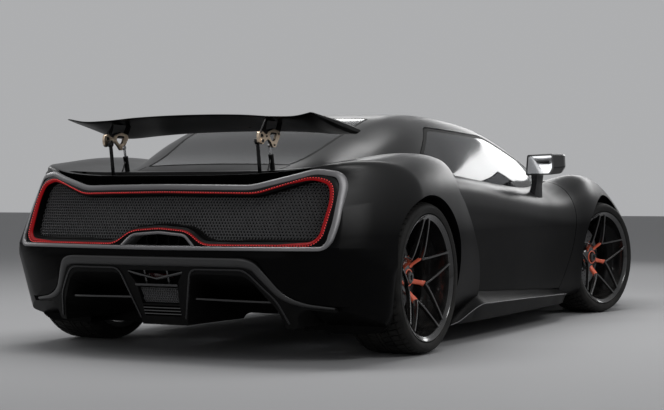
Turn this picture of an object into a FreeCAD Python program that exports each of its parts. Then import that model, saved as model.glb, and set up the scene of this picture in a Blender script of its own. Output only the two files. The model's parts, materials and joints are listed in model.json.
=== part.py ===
"""A low two-seat hypercar with a mid-mounted engine, built as separate panels, glass, running gear and cabin pieces.

Millimetres. +X points to the nose, +Y to the car's left, +Z up. The origin is on the ground, under the middle
of the car's length. The front wheels stand turned a little to the right, as the car was parked.
"""
import FreeCAD
import Part
import math
import os

V = FreeCAD.Vector

# ---------------------------------------------------------------- driving sizes
wheelbase = 2800.0
front_overhang = 1010.0
rear_overhang = 790.0
body_width = 2030.0
roof_height = 1160.0
ground_clearance = 110.0

front_tyre_radius = 340.0
front_tyre_width = 255.0
front_rim_radius = 285.0
front_track = 1690.0
rear_tyre_radius = 350.0
rear_tyre_width = 290.0
rear_rim_radius = 295.0
rear_track = 1706.0
front_arch_gap = 46.0
front_well_gap = 80.0
rear_arch_gap = 30.0
steer_at_rest = 14.0
front_steering_room = 172.5
rear_well_room = 48.0
footwell_wall = 30.0

sill_width = 280.0
engine_bay_half_width = 450.0
panel_gap = 6.0
bed_gap = 0.5
glass_thickness = 7.0
shell_thickness = 34.0

length = wheelbase + front_overhang + rear_overhang
half_width = body_width / 2
tail_x = -length / 2
nose_x = length / 2
rear_axle_x = tail_x + rear_overhang
cabin_half_width = half_width - sill_width
front_axle_x = nose_x - front_overhang
front_well_y = front_track / 2 - front_tyre_width / 2 - front_steering_room
rear_well_y = rear_track / 2 - rear_tyre_width / 2 - rear_well_room
footwell_half_width = front_well_y - footwell_wall
bulkhead_x = rear_axle_x + 770
toe_board_x = front_axle_x - 350
door_front_x = front_axle_x - 490
lid_setback = 115.0
belt_z = 800.0
greenhouse_rise = 360.0
top = roof_height + 100
side_reach = 1200.0


def below_roof(drop):
    """A height in the greenhouse. drop is its distance below the roof on a car with the usual rise over the belt."""
    return roof_height - drop * (roof_height - belt_z) / greenhouse_rise


# ---------------------------------------------------------------- shape helpers
def polygon(points):
    """A closed flat face through 3-D points."""
    return Part.Face(Part.makePolygon([V(*p) for p in points] + [V(*points[0])]))


def prism(outline, plane, low, high):
    """An outline drawn on two axes, pushed along the third from low to high."""
    at = {"xz": lambda a, b: (a, low, b), "yz": lambda a, b: (low, a, b), "xy": lambda a, b: (a, b, low)}[plane]
    along = {"xz": V(0, high - low, 0), "yz": V(high - low, 0, 0), "xy": V(0, 0, high - low)}[plane]
    return polygon([at(a, b) for a, b in outline]).extrude(along)


def box(x0, x1, y0, y1, z0, z1):
    return Part.makeBox(x1 - x0, y1 - y0, z1 - z0, V(x0, y0, z0))


def rod(radius, start, end):
    """A round bar from one point to another."""
    line = V(*end) - V(*start)
    return Part.makeCylinder(radius, line.Length, V(*start), line)


def bar(start, end, wide, tall):
    """A square-edged bar from one point to another. wide is across the car, tall is across the bar."""
    a, b = V(*start), V(*end)
    side = (b - a).cross(V(0, 1, 0)).normalize() * (tall / 2)
    corners = [a - side, b - side, b + side, a + side]
    return polygon([(c.x, c.y - wide / 2, c.z) for c in corners]).extrude(V(0, wide, 0))


def mirrored(shape):
    """The same piece on the other side of the car."""
    return shape.mirror(V(0, 0, 0), V(0, 1, 0))


def both_sides(shape):
    return Part.makeCompound([shape, mirrored(shape)])


def fused(*shapes):
    return shapes[0].fuse(list(shapes[1:])).removeSplitter()


def grown(outline, gap):
    """The outline with every side moved outwards by gap, or inwards where gap is negative."""
    area = sum(a[0] * b[1] - b[0] * a[1] for a, b in zip(outline, outline[1:] + outline[:1]))
    turn = 1.0 if area > 0 else -1.0
    moved = []
    for before, here, after in zip(outline[-1:] + outline[:-1], outline, outline[1:] + outline[:1]):
        normals = []
        for a, b in ((before, here), (here, after)):
            run = math.hypot(b[0] - a[0], b[1] - a[1])
            normals.append((turn * (b[1] - a[1]) / run, -turn * (b[0] - a[0]) / run))
        (ax, ay), (bx, by) = normals
        scale = gap / (1 + ax * bx + ay * by)
        moved.append((here[0] + (ax + bx) * scale, here[1] + (ay + by) * scale))
    return moved


def across(half):
    """A full outline from its half on the left, listed from the centre line round to the centre line."""
    return half + [(-y, z) for y, z in reversed(half) if y > 0]


def rounded(points):
    """An open outline with each inner corner cut off once, a quarter of the way along its two sides."""
    cut = [points[0]]
    for before, here, after in zip(points, points[1:], points[2:]):
        cut.append(tuple(0.25 * b + 0.75 * h for b, h in zip(before, here)))
        cut.append(tuple(0.25 * a + 0.75 * h for a, h in zip(after, here)))
    return cut + [points[-1]]


def hull(sections):
    """A body through sections, each (x, half outline from the bottom centre to the top centre as (y, z))."""
    wires = []
    for x, half in sections:
        left = rounded(half)
        ring = [V(x, y, z) for y, z in left + [(-y, z) for y, z in reversed(left[1:-1])]]
        wires.append(Part.makePolygon(ring + [ring[0]]))
    return Part.makeLoft(wires, True, True)


# ---------------------------------------------------------------- body forms
def core_sections(inset=0.0):
    """Sills, doors and front wings. Columns: x, then (inset from half the width, height) of the floor edge, sill,
    flank, shoulder, crest and inner crest, then the height of the middle."""
    floor = ground_clearance
    table = [
        (rear_axle_x + 180, 235, floor, 150, 135, 152, 400, 98, 775, 200, 865, 420, 880, 880),
        (rear_axle_x + 800, 235, floor, 142, 135, 152, 400, 98, 752, 207, 832, 430, 850, 850),
        (rear_axle_x + 1400, 235, floor, 138, 135, 150, 395, 98, 700, 218, 795, 440, 815, 825),
        (front_axle_x - 840, 235, floor, 132, 135, 138, 385, 96, 652, 214, 770, 440, 820, 845),
        (front_axle_x - 490, 240, floor, 115, 135, 98, 400, 78, 640, 185, 800, 430, 820, 860),
        (front_axle_x - 230, 250, floor, 95, 135, 50, 420, 45, 690, 175, 885, 470, 770, 805),
        (front_axle_x, 255, floor, 95, 135, 28, 430, 40, 690, 200, 885, 490, 715, 740),
        (front_axle_x + 310, 270, floor, 120, 135, 38, 420, 65, 640, 235, 815, 530, 640, 665),
        (front_axle_x + 610, 300, floor, 170, 130, 80, 385, 120, 550, 285, 685, 580, 565, 580),
        (front_axle_x + 860, 360, floor, 250, 125, 160, 330, 210, 445, 360, 545, 640, 480, 490),
        (front_axle_x + 1110, 430, floor, 320, 120, 250, 290, 300, 350, 420, 425, 680, 400, 405),
    ]
    sections = []
    for x, fy, fz, ly, lz, ay, az, sy, sz, cy, cz, iy, iz, mid in table:
        half = [(0, fz + inset), (half_width - fy - inset, fz + inset), (half_width - ly - inset, lz + inset),
                (half_width - ay - inset, az), (half_width - sy - inset, sz - 0.5 * inset),
                (half_width - cy - inset, cz - inset), (half_width - iy - inset, iz - inset), (0, mid - inset)]
        sections.append((x, half))
    return sections


def haunch_sections():
    """Rear wings and tail. Columns: x, then (inset from half the width, height) of the floor edge, low edge, flank,
    widest line, shoulder, crest and valley, then the height of the middle."""
    low = ground_clearance
    table = [
        (rear_axle_x + 960, 300, low, 130, 150, 80, 340, 55, 500, 110, 700, 240, 815, 560, 820, 800),
        (rear_axle_x + 640, 270, low, 100, 150, 52, 350, 36, 570, 82, 800, 215, 895, 520, 840, 830),
        (rear_axle_x + 340, 240, low, 70, 150, 22, 360, 0, 590, 45, 838, 182, 945, 470, 855, 850),
        (rear_axle_x, 200, low, 55, 150, 8, 360, -22, 590, 28, 840, 162, 945, 440, 865, 860),
        (rear_axle_x - 310, 200, low, 55, 130, 12, 340, -14, 575, 36, 805, 165, 915, 430, 848, 845),
        (rear_axle_x - 610, 200, low, 55, 130, 18, 330, 0, 560, 50, 770, 170, 880, 430, 825, 828),
        (rear_axle_x - 910, 200, low, 60, 130, 25, 320, 14, 545, 65, 735, 175, 850, 430, 790, 790),
    ]
    sections = []
    for x, fy, fz, ly, lz, ay, az, wy, wz, sy, sz, cy, cz, vy, vz, mid in table:
        half = [(0, fz)] + [(half_width - i, z) for i, z in
                            ((fy, fz), (ly, lz), (ay, az), (wy, wz), (sy, sz), (cy, cz), (vy, vz))] + [(0, mid)]
        sections.append((x, half))
    return sections


def greenhouse_sections(inset=0.0):
    """Windscreen, roof and fastback in one form. Columns: x, then (inset from half the width, drop below the roof)
    of the base, waist, rail and the edge of the roof's flat. The middle's drop is the last one too."""
    table = [
        (front_axle_x + 90, 455, 520, 475, 460, 595, 425, 815, 412),
        (front_axle_x - 240, 325, 500, 350, 400, 475, 330, 755, 285),
        (front_axle_x - 590, 263, 480, 287, 350, 425, 215, 715, 155),
        (front_axle_x - 1040, 233, 460, 259, 330, 425, 85, 715, 42),
        (front_axle_x - 1540, 223, 440, 250, 320, 430, 20, 725, 0),
        (rear_axle_x + 810, 223, 420, 250, 310, 435, 12, 725, 0),
        (rear_axle_x + 510, 235, 400, 263, 310, 440, 45, 725, 32),
        (rear_axle_x + 210, 285, 400, 310, 320, 450, 138, 725, 125),
        (rear_axle_x - 90, 365, 420, 395, 350, 495, 255, 735, 243),
        (rear_axle_x - 450, 455, 440, 475, 400, 565, 345, 755, 338),
    ]
    sections = []
    for x, by, bz, wy, wz, ry, rz, my, mz in table:
        half = [(0, below_roof(bz)), (half_width - by - inset, below_roof(bz)),
                (half_width - wy - inset, below_roof(wz)), (half_width - ry - inset, below_roof(rz) - inset),
                (half_width - my, below_roof(mz) - inset), (0, below_roof(mz) - inset)]
        sections.append((x, half))
    return sections


# Half plan curves of the two ends: (y, distance inboard of the car's end), at a low and a high level.
# Each end face leans between its levels.
TAIL = {"end": tail_x, "sign": -1, "low_z": 500.0, "high_z": 800.0,
        "low": [(0, 46), (250, 47), (460, 57), (650, 78), (780, 108), (845, 142), (900, 200), (960, 330), (1040, 560)],
        "high": [(0, 105), (260, 112), (470, 150), (640, 196), (740, 232), (800, 265), (850, 330), (900, 440),
                 (1000, 700)]}
UNDERTAIL = {"end": tail_x, "sign": -1, "low_z": 180.0, "high_z": 430.0,
             "low": [(0, 100), (200, 104), (465, 118), (612, 166), (800, 250), (900, 320), (1000, 440), (1100, 640)],
             "high": [(0, 11), (200, 13), (465, 25), (612, 70), (800, 150), (900, 220), (1000, 340), (1100, 540)]}
NOSE = {"end": nose_x, "sign": 1, "low_z": 110.0, "high_z": 420.0,
        "low": [(0, 60), (250, 74), (450, 110), (620, 180), (760, 300), (860, 450), (960, 700), (1060, 1050)],
        "high": [(0, 12), (250, 26), (450, 66), (620, 140), (760, 262), (880, 430), (980, 640), (1100, 980)]}


def end_mass(face, shift=0.0):
    """Everything inboard of a leaning, curved end face, shift further in."""
    rings = []
    for z in (0.0, top):
        share = (z - face["low_z"]) / (face["high_z"] - face["low_z"])
        curve = []
        for a, b in zip(face["low"], face["high"]):
            back = a[1] + (b[1] - a[1]) * share + shift
            curve.append((face["end"] - face["sign"] * back, a[0] + (b[0] - a[0]) * share))
        inner = face["end"] - face["sign"] * 3000.0
        outline = [(x, -y) for x, y in reversed(curve[1:])] + curve + [(inner, curve[-1][1]), (inner, -curve[-1][1])]
        ring = [V(x, y, z) for x, y in outline]
        rings.append(Part.makePolygon(ring + [ring[0]]))
    return Part.makeLoft(rings, True, True)


core = hull(core_sections())
core_lining = hull(core_sections(shell_thickness))
haunch = hull(haunch_sections())
house = hull(greenhouse_sections())
house_lining = hull(greenhouse_sections(shell_thickness))
house_glass_back = hull(greenhouse_sections(glass_thickness))
nose = end_mass(NOSE)

# ---------------------------------------------------------------- shut lines, drawn on the car's side as (x, z)
blade_foot_x = rear_axle_x + 800
blade_head_x = rear_axle_x + 390
blade = [(blade_foot_x, 0), (rear_axle_x + 770, 250), (rear_axle_x + 680, 430), (rear_axle_x + 560, 580),
         (rear_axle_x + 450, 700), (blade_head_x, 745), (blade_head_x, top)]
ahead_of_blade = blade + [(nose_x, top), (nose_x, 0)]
door_foot_front = (door_front_x - 190, 185)
door_foot_rear = (rear_axle_x + 784, 205)
door_nose = [door_foot_front, (door_front_x - 80, 320), (door_front_x - 20, 430), (door_front_x, 610),
             (door_front_x, belt_z + 100)]
door_tail = [(x + panel_gap, z) for x, z in [(blade_head_x, belt_z + 100)] + blade[-2:0:-1]]
door_area = [door_foot_rear] + door_nose + door_tail
sill_area = [(blade_foot_x + panel_gap, 0), (door_foot_rear[0], door_foot_rear[1] - panel_gap),
             (door_foot_front[0], door_foot_front[1] - panel_gap), (door_foot_front[0], 0)]
ahead_of_door = [(x + panel_gap, z) for x, z in [(door_foot_front[0], 0)] + door_nose[:-1]
                 + [(door_front_x, top)]] + [(nose_x + 50, top), (nose_x + 50, 0)]
window_area = [(blade_head_x + 18, belt_z - 60), (blade_head_x + 18, belt_z + 45), (rear_axle_x + 800, below_roof(84)),
               (front_axle_x - 1210, below_roof(104)), (front_axle_x - 950, below_roof(175)),
               (front_axle_x - 640, below_roof(270)), (front_axle_x - 520, below_roof(320)),
               (front_axle_x - 520, belt_z - 60)]


def plan(half):
    """A closed plan outline across the car, from (x, y) points down its left side."""
    return half + [(x, -y) for x, y in reversed(half)]


windscreen_area = plan([(front_axle_x + 95, half_width - 555), (front_axle_x - 250, half_width - 487),
                        (front_axle_x - 700, half_width - 470), (front_axle_x - 1150, half_width - 495)])
rear_glass_area = plan([(rear_axle_x + 480, half_width - 560), (rear_axle_x + 200, half_width - 560),
                        (rear_axle_x - 110, half_width - 600)])
deck_area = plan([(rear_axle_x - 116, half_width - 600), (rear_axle_x - 440, half_width - 645)])
lid_area = plan([(front_axle_x + lid_setback, half_width - 610), (front_axle_x + 300, half_width - 610),
                 (front_axle_x + 640, half_width - 685)])
lamp_area = [(front_axle_x + 420, half_width - 365), (front_axle_x + 480, half_width - 210),
             (front_axle_x + 640, half_width - 215), (front_axle_x + 800, half_width - 365),
             (front_axle_x + 760, half_width - 445), (front_axle_x + 600, half_width - 445)]


def pair_of_blocks(outline, plane, low, high):
    return both_sides(prism(outline, plane, low, high))


def wheel_hole(tyre_radius, gap, axle_x, inner_y, outer_y):
    """The space round a wheel on the left, gap larger than its tyre, and its twin on the right."""
    return both_sides(rod(tyre_radius + gap, (axle_x, inner_y, tyre_radius), (axle_x, outer_y, tyre_radius)))


# ---------------------------------------------------------------- spaces
# Wheel houses are round, with a tighter lip at the car's side in front. Each end of a space runs a little past
# the face that it opens through, by overlap.
overlap = 10.0
arch_lip_depth = 85.0
arm_pocket_y = 400.0
arm_pocket_reach = 180.0
arm_pocket_z = 140.0
under_floor_z = ground_clearance - overlap
cabin_top_z = 780.0
footwell_top_z = 740.0
trunk_floor_z = 215.0
trunk_half_width = half_width - 640
trunk_front_x = front_axle_x + 560
engine_bay_rear_x = rear_axle_x - 440
nose_cut_z = 300.0
house_cut_z = 600.0

lip_y = half_width - arch_lip_depth
front_well = wheel_hole(front_tyre_radius, front_well_gap, front_axle_x, front_well_y, lip_y)
front_arch = wheel_hole(front_tyre_radius, front_arch_gap, front_axle_x, lip_y - overlap, side_reach)
rear_well = wheel_hole(rear_tyre_radius, rear_arch_gap, rear_axle_x, rear_well_y, side_reach)
front_arm_pockets = both_sides(box(front_axle_x - arm_pocket_reach, front_axle_x + arm_pocket_reach,
                                   arm_pocket_y, front_well_y + overlap, arm_pocket_z, front_tyre_radius + 200))
rear_arm_pockets = both_sides(box(rear_axle_x - arm_pocket_reach, rear_axle_x + arm_pocket_reach,
                                  engine_bay_half_width - overlap, rear_well_y + overlap,
                                  arm_pocket_z, rear_tyre_radius + 210))
cabin_space = box(bulkhead_x, door_front_x + overlap, -cabin_half_width, cabin_half_width,
                  under_floor_z, cabin_top_z).fuse(
    box(door_front_x, toe_board_x, -footwell_half_width, footwell_half_width, under_floor_z, footwell_top_z))
trunk_space = box(front_axle_x + lid_setback - 5, trunk_front_x, -trunk_half_width, trunk_half_width,
                  trunk_floor_z, top)
engine_bay = box(engine_bay_rear_x, bulkhead_x, -engine_bay_half_width, engine_bay_half_width,
                 under_floor_z, cabin_top_z).fuse(prism(rear_glass_area, "xy", cabin_top_z - overlap, top))

sliver_volume = 1e3
main_piece_volume = 1e6
nodes = {}


def keep(name, shape, least=sliver_volume):
    """Files a finished piece under its node's name, without slivers."""
    nodes[name] = Part.makeCompound([s for s in shape.Solids if s.Volume > least])


# ---------------------------------------------------------------- nose and front wings
nose_intakes = [[(0, 170), (330, 170), (430, 300), (300, 345), (0, 345)],
                [(520, 160), (700, 165), (760, 330), (560, 345)]]
intake_depth = 330.0
grille_thickness = 12.0
splitter_z = 88.0

nose_panels = core.common(nose).common(prism(ahead_of_door, "xz", -side_reach, side_reach))
nose_skin = nose_panels.cut(core_lining)
intakes = [block for outline in nose_intakes
           for block in pair_of_blocks(outline, "yz", nose_x - intake_depth, nose_x + 50).Solids]
intake_block = intakes[0].fuse(intakes[1:])
tow_socket = (nose_x - 150, -478, 372)
tow_socket_depth = 60.0
tow_thread_radius = 8.0
tow_recess_radius = 24.0
tow_holes = [rod(tow_thread_radius, (tow_socket[0] - tow_socket_depth, *tow_socket[1:]), tow_socket),
             rod(tow_recess_radius, tow_socket, (nose_x, *tow_socket[1:]))]
front_clam = nose_panels.cut(tow_holes + [
    front_well, front_arch, front_arm_pockets, intake_block, cabin_space,
    prism(grown(lid_area, panel_gap), "xy", nose_cut_z, top).cut(core_lining),
    trunk_space,
    pair_of_blocks(grown(lamp_area, bed_gap), "xy", nose_cut_z, top).cut(core_lining)])
keep("front_clam", front_clam)
keep("front_lid", nose_skin.common(prism(lid_area, "xy", nose_cut_z, top)))
keep("headlamps", nose_skin.common(pair_of_blocks(lamp_area, "xy", nose_cut_z, top)))
keep("front_grilles", intake_block.common(box(nose_x - intake_depth, nose_x - intake_depth + grille_thickness,
                                              -900, 900, 0, 900)))
splitter_plan = plan([(nose_x, 240), (nose_x - 44, 450), (nose_x - 118, 620), (nose_x - 240, 770),
                      (nose_x - 420, 890), (front_axle_x + 440, 905)])
keep("front_splitter", prism(splitter_plan, "xy", splitter_z, ground_clearance).cut(front_well))

# ---------------------------------------------------------------- doors and their glass
glass_skin = house.cut(house_glass_back)
glass_inner_y = 450.0
# The door's inner part stops short of its rear shut line, so that it swings out past the blade.
door_rebate_depth = 14.0
door_rebate_y = half_width - 143
door_rebate = prism([(x - 60, z) for x, z in blade] + [(x + panel_gap + door_rebate_depth, z) for x, z in blade[::-1]],
                    "xz", cabin_half_width - 10, door_rebate_y)
for side, turned in (("left", lambda s: s), ("right", mirrored)):
    panel = core.common(turned(prism(door_area, "xz", cabin_half_width, side_reach)))
    keep("door_" + side, panel.cut(turned(door_rebate)))
    keep("door_glass_" + side, glass_skin.common(turned(prism(window_area, "xz", glass_inner_y, side_reach))).cut([core, haunch]))
    stalk = bar((front_axle_x - 950, half_width - 185, 700), (front_axle_x - 960, half_width - 145, 850), 26, 60)
    head = prism([(front_axle_x - 985, half_width - 225), (front_axle_x - 985, half_width - 11),
                  (front_axle_x - 930, half_width - 25), (front_axle_x - 890, half_width - 95),
                  (front_axle_x - 900, half_width - 215)], "xy", 838, 962)
    keep("mirror_" + side, turned(fused(stalk, head).cut(core)))
side_skirts = core.common(pair_of_blocks(sill_area, "xz", cabin_half_width, side_reach)).fuse(both_sides(
    prism([(blade_foot_x - 330, half_width - 255), (blade_foot_x - 330, half_width - 115),
           (blade_foot_x, half_width - 30), (door_foot_front[0], half_width - 55),
           (door_foot_front[0], half_width - 255)], "xy", ground_clearance + 8, ground_clearance + 32))).removeSplitter()
keep("side_skirts", side_skirts)

# ---------------------------------------------------------------- roof and glass
screens = prism(windscreen_area, "xy", house_cut_z, top), prism(rear_glass_area, "xy", house_cut_z, top)
keep("windscreen", glass_skin.common(screens[0]).cut(core))
keep("rear_glass", glass_skin.common(screens[1]).cut(haunch))
house_skin = house.cut(house_lining)
keep("engine_cover", house_skin.common(prism(deck_area, "xy", house_cut_z, top)).cut(haunch))
keep("roof", house_skin.cut([
    core, haunch, prism(grown(windscreen_area, bed_gap), "xy", house_cut_z, top),
    prism(grown(rear_glass_area, bed_gap), "xy", house_cut_z, top), prism(grown(deck_area, panel_gap), "xy", house_cut_z, top),
    pair_of_blocks(grown(window_area, panel_gap), "xz", glass_inner_y, side_reach)]))

# ---------------------------------------------------------------- tail
rim_outer = [(0, 795), (440, 790), (627, 838), (700, 862), (802, 828), (850, 750), (856, 600), (844, 519),
             (815, 490), (0, 483)]
recess = [(0, 756), (462, 750), (694, 822), (793, 800), (812, 720), (800, 545), (765, 507), (228, 505),
          (152, 578), (0, 590)]
outlet = [(0, 574), (141, 563), (213, 492), (0, 490)]
recess_depth = 80.0
rim_depth = 90.0
tail_solid = end_mass(TAIL)
rim_block = prism(across(rim_outer), "yz", tail_x - 50, tail_x + 700)
recess_block = prism(across(recess), "yz", tail_x - 50, tail_x + 700)
outlet_block = prism(across(outlet), "yz", tail_x - 50, tail_x + 700)
undertail_z = 475.0
undertail_half_width = 655.0
undertail_space = fused(
    box(tail_x - 50, rear_axle_x - 200, -undertail_half_width, undertail_half_width, 0, undertail_z),
    box(tail_x - 50, tail_x + 260, -side_reach, side_reach, 0, undertail_z - 240))
hoop = [(0, 461), (462, 459), (512, 440), (606, 300), (680, 264), (800, 246), (805, 222), (672, 236), (640, 200),
        (640, 150), (0, 150)]
tunnel = [(200, 413), (465, 414), (575, 282), (608, 170), (608, 40), (110, 40), (120, 180)]
tunnel_throat = [(150, 170), (440, 170), (520, 165), (560, 150), (560, 40), (110, 40), (120, 120)]
undertail = end_mass(UNDERTAIL)
diffuser_front_x = rear_axle_x - 215
tunnels = []
for turn in (1, -1):
    wires = []
    for x, outline in ((tail_x - 20, tunnel), (diffuser_front_x + 20, tunnel_throat)):
        ring = [V(x, turn * y, z) for y, z in outline]
        wires.append(Part.makePolygon(ring + [ring[0]]))
    tunnels.append(Part.makeLoft(wires, True, True))
diffuser = prism(across(hoop), "yz", tail_x - 20, diffuser_front_x).common(undertail).cut(tunnels)
hanger = box(rear_axle_x - 560, diffuser_front_x, -500, 500, 430, undertail_z)
vanes = both_sides(prism([(125, 226), (592, 214), (592, 206), (125, 218)], "yz", tail_x - 20, tail_x + 330)
                   .common(undertail).common(Part.makeCompound(tunnels[:1])))
diffuser = diffuser.fuse([hanger, vanes]).removeSplitter().cut(rear_well)
keep("diffuser", diffuser)

channel = prism(plan([(rear_axle_x - 480, 365), (rear_axle_x - 560, 600), (rear_axle_x - 625, 560),
                      (rear_axle_x - 650, 400)]), "xy", 760, top)
duct = pair_of_blocks([(rear_axle_x + 810, 300), (rear_axle_x + 760, 560), (rear_axle_x + 480, 690),
                       (rear_axle_x + 440, 640), (rear_axle_x + 440, 330)], "xz", half_width - 215, half_width - 90)
rear_form = haunch.common(tail_solid).common(end_mass(UNDERTAIL))
rear_clam = rear_form.cut([
    prism(ahead_of_blade, "xz", -side_reach, side_reach), rear_well, rear_arm_pockets, engine_bay, undertail_space, channel, duct,
    cabin_space, diffuser, side_skirts,
    rim_block.cut(end_mass(TAIL, rim_depth))])
keep("rear_clam", rear_clam, main_piece_volume)
rim_zone = haunch.common(tail_solid).cut(end_mass(TAIL, rim_depth))
keep("tail_surround", rim_zone.common(rim_block).cut([recess_block, outlet_block]))
keep("tail_panel", recess_block.cut(outlet_block).common(end_mass(TAIL, recess_depth)).cut(end_mass(TAIL, rim_depth)))
light_block = recess_block.cut(prism(grown(across(recess), -9.0), "yz", tail_x - 50, tail_x + 700))
keep("tail_light", light_block.common(end_mass(TAIL, 14)).cut([end_mass(TAIL, 30), outlet_block]))
outlet_ring = outlet_block.cut(prism(grown(across(outlet), -12.0), "yz", tail_x - 50, tail_x + 700))
keep("exhaust_outlet", outlet_ring.common(end_mass(TAIL, 4)).cut(end_mass(TAIL, rim_depth + 60)).cut(rear_clam))

# ---------------------------------------------------------------- rear wing
wing_chord = 490.0
wing_half_span = 664.0
wing_tail_x = rear_axle_x - 518
wing_pivot = (rear_axle_x - 536, 971)
strut_y = 398.0
strut_thickness = 16.0
bracket_thickness = 12.0
pin_radius = 8.0
running_gap = 0.3
wing_table = [
    # y, height of the trailing edge, height of the leading edge, thickness, step back of the trailing edge
    (0, 1083, 1030, 34, 32), (300, 1080, 1030, 34, 26), (460, 1075, 1031, 32, 14), (600, 1084, 1036, 28, 4),
    (wing_half_span, 1094, 1040, 22, 0)]


def wing_section(y, tail_z, nose_z, thick, short):
    """An aerofoil section in the wing's chord plane at y, with the thicker part towards the leading edge."""
    x0, x1 = wing_tail_x + short, wing_tail_x + wing_chord
    ring = []
    for share, up in ((0, -0.1), (0.3, -0.22), (0.7, -0.45), (0.95, -0.35), (1, 0.05), (0.92, 0.4), (0.6, 0.55),
                      (0.25, 0.3), (0, 0.12)):
        ring.append(V(x0 + (x1 - x0) * share, y, tail_z + (nose_z - tail_z) * share + up * thick))
    return Part.makePolygon(ring + [ring[0]])


wing_rows = [(-y, *row) for y, *row in reversed(wing_table[1:])] + wing_table
wing = Part.makeLoft([wing_section(*row) for row in wing_rows], True, True)
keep("wing", wing)
px, pz = wing_pivot
bracket_y = strut_y + strut_thickness / 2 + 5
bracket = prism([(px - 24, pz - 22), (px - 38, pz + 8), (px - 34, pz + 40), (px + 30, pz + 112), (px + 215, pz + 108),
                 (px + 190, pz + 60), (px + 148, pz - 12), (px + 120, pz - 38), (px + 92, pz - 32), (px + 40, pz - 12)],
                "xz", bracket_y, bracket_y + bracket_thickness).cut(wing)
pin = Part.makeCylinder(pin_radius, strut_thickness + 5, V(px, bracket_y - strut_thickness - 5, pz), V(0, 1, 0))
ram_top = (px + 110, pz - 15)
ram_base = (rear_axle_x - 400, 846)
keep("wing_brackets", both_sides(bracket.fuse(pin).removeSplitter()))
strut = prism([(px + 20, 700), (px + 62, 700), (px + 20, pz + 6), (px + 10, pz + 18), (px - 10, pz + 18),
               (px - 20, pz + 6)], "xz", strut_y - strut_thickness / 2, strut_y + strut_thickness / 2)
strut = strut.cut(Part.makeCylinder(pin_radius + running_gap, 60, V(px, strut_y - 30, pz), V(0, 1, 0)))
ram_lean = V(ram_top[0] - ram_base[0], 0, ram_top[1] - ram_base[1]).normalize()
ram_length = math.hypot(ram_top[0] - ram_base[0], ram_top[1] - ram_base[1])
sleeve_radius = 12.0
sleeve_length = 0.62 * ram_length
sleeve_foot = 8.0
plunger_radius = 6.0
plunger_foot = 24.0


def along_ram(distance, y):
    """A point on the ram's centre line, at a distance up from its foot."""
    return ram_base[0] + ram_lean.x * distance, y, ram_base[1] + ram_lean.z * distance


sleeve = rod(sleeve_radius, along_ram(-60, strut_y), along_ram(sleeve_length, strut_y)).cut(
    rod(plunger_radius + running_gap, along_ram(sleeve_foot, strut_y), along_ram(sleeve_length + 1, strut_y)))
keep("wing_struts", both_sides(Part.makeCompound([strut.cut(rear_clam), sleeve.cut(rear_clam)])))
for side, sign in (("left", 1), ("right", -1)):
    y = sign * strut_y
    eye = Part.makeCylinder(11, 10, V(ram_top[0], y - 5, ram_top[1]), V(0, 1, 0))
    keep("ram_rod_" + side, rod(plunger_radius, along_ram(plunger_foot, y), along_ram(ram_length, y)).fuse(eye)
         .removeSplitter())


# ---------------------------------------------------------------- wheels, brakes and uprights
rim_inset = 7.0
bead_inset = 16.0
bead_step = 20.0
barrel_wall = 12.0
hub_thickness = 40.0
bell_depth = 38.0
rotor_thickness = 24.0
stub_radius = 26.0
ball_pin_radius = 9.0
ball_height = 135.0
twin_spokes = 5


def turned_ring(profile, sweep=360.0):
    """A ring, or a sector of one, round the wheel's Y axis, from a closed list of (y, radius)."""
    return polygon([(0, y, r) for y, r in profile]).revolve(V(0, 0, 0), V(0, 1, 0), sweep)


def moved(shape, x, y, z):
    copy = shape.copy()
    copy.translate(V(x, y, z))
    return copy


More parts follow.
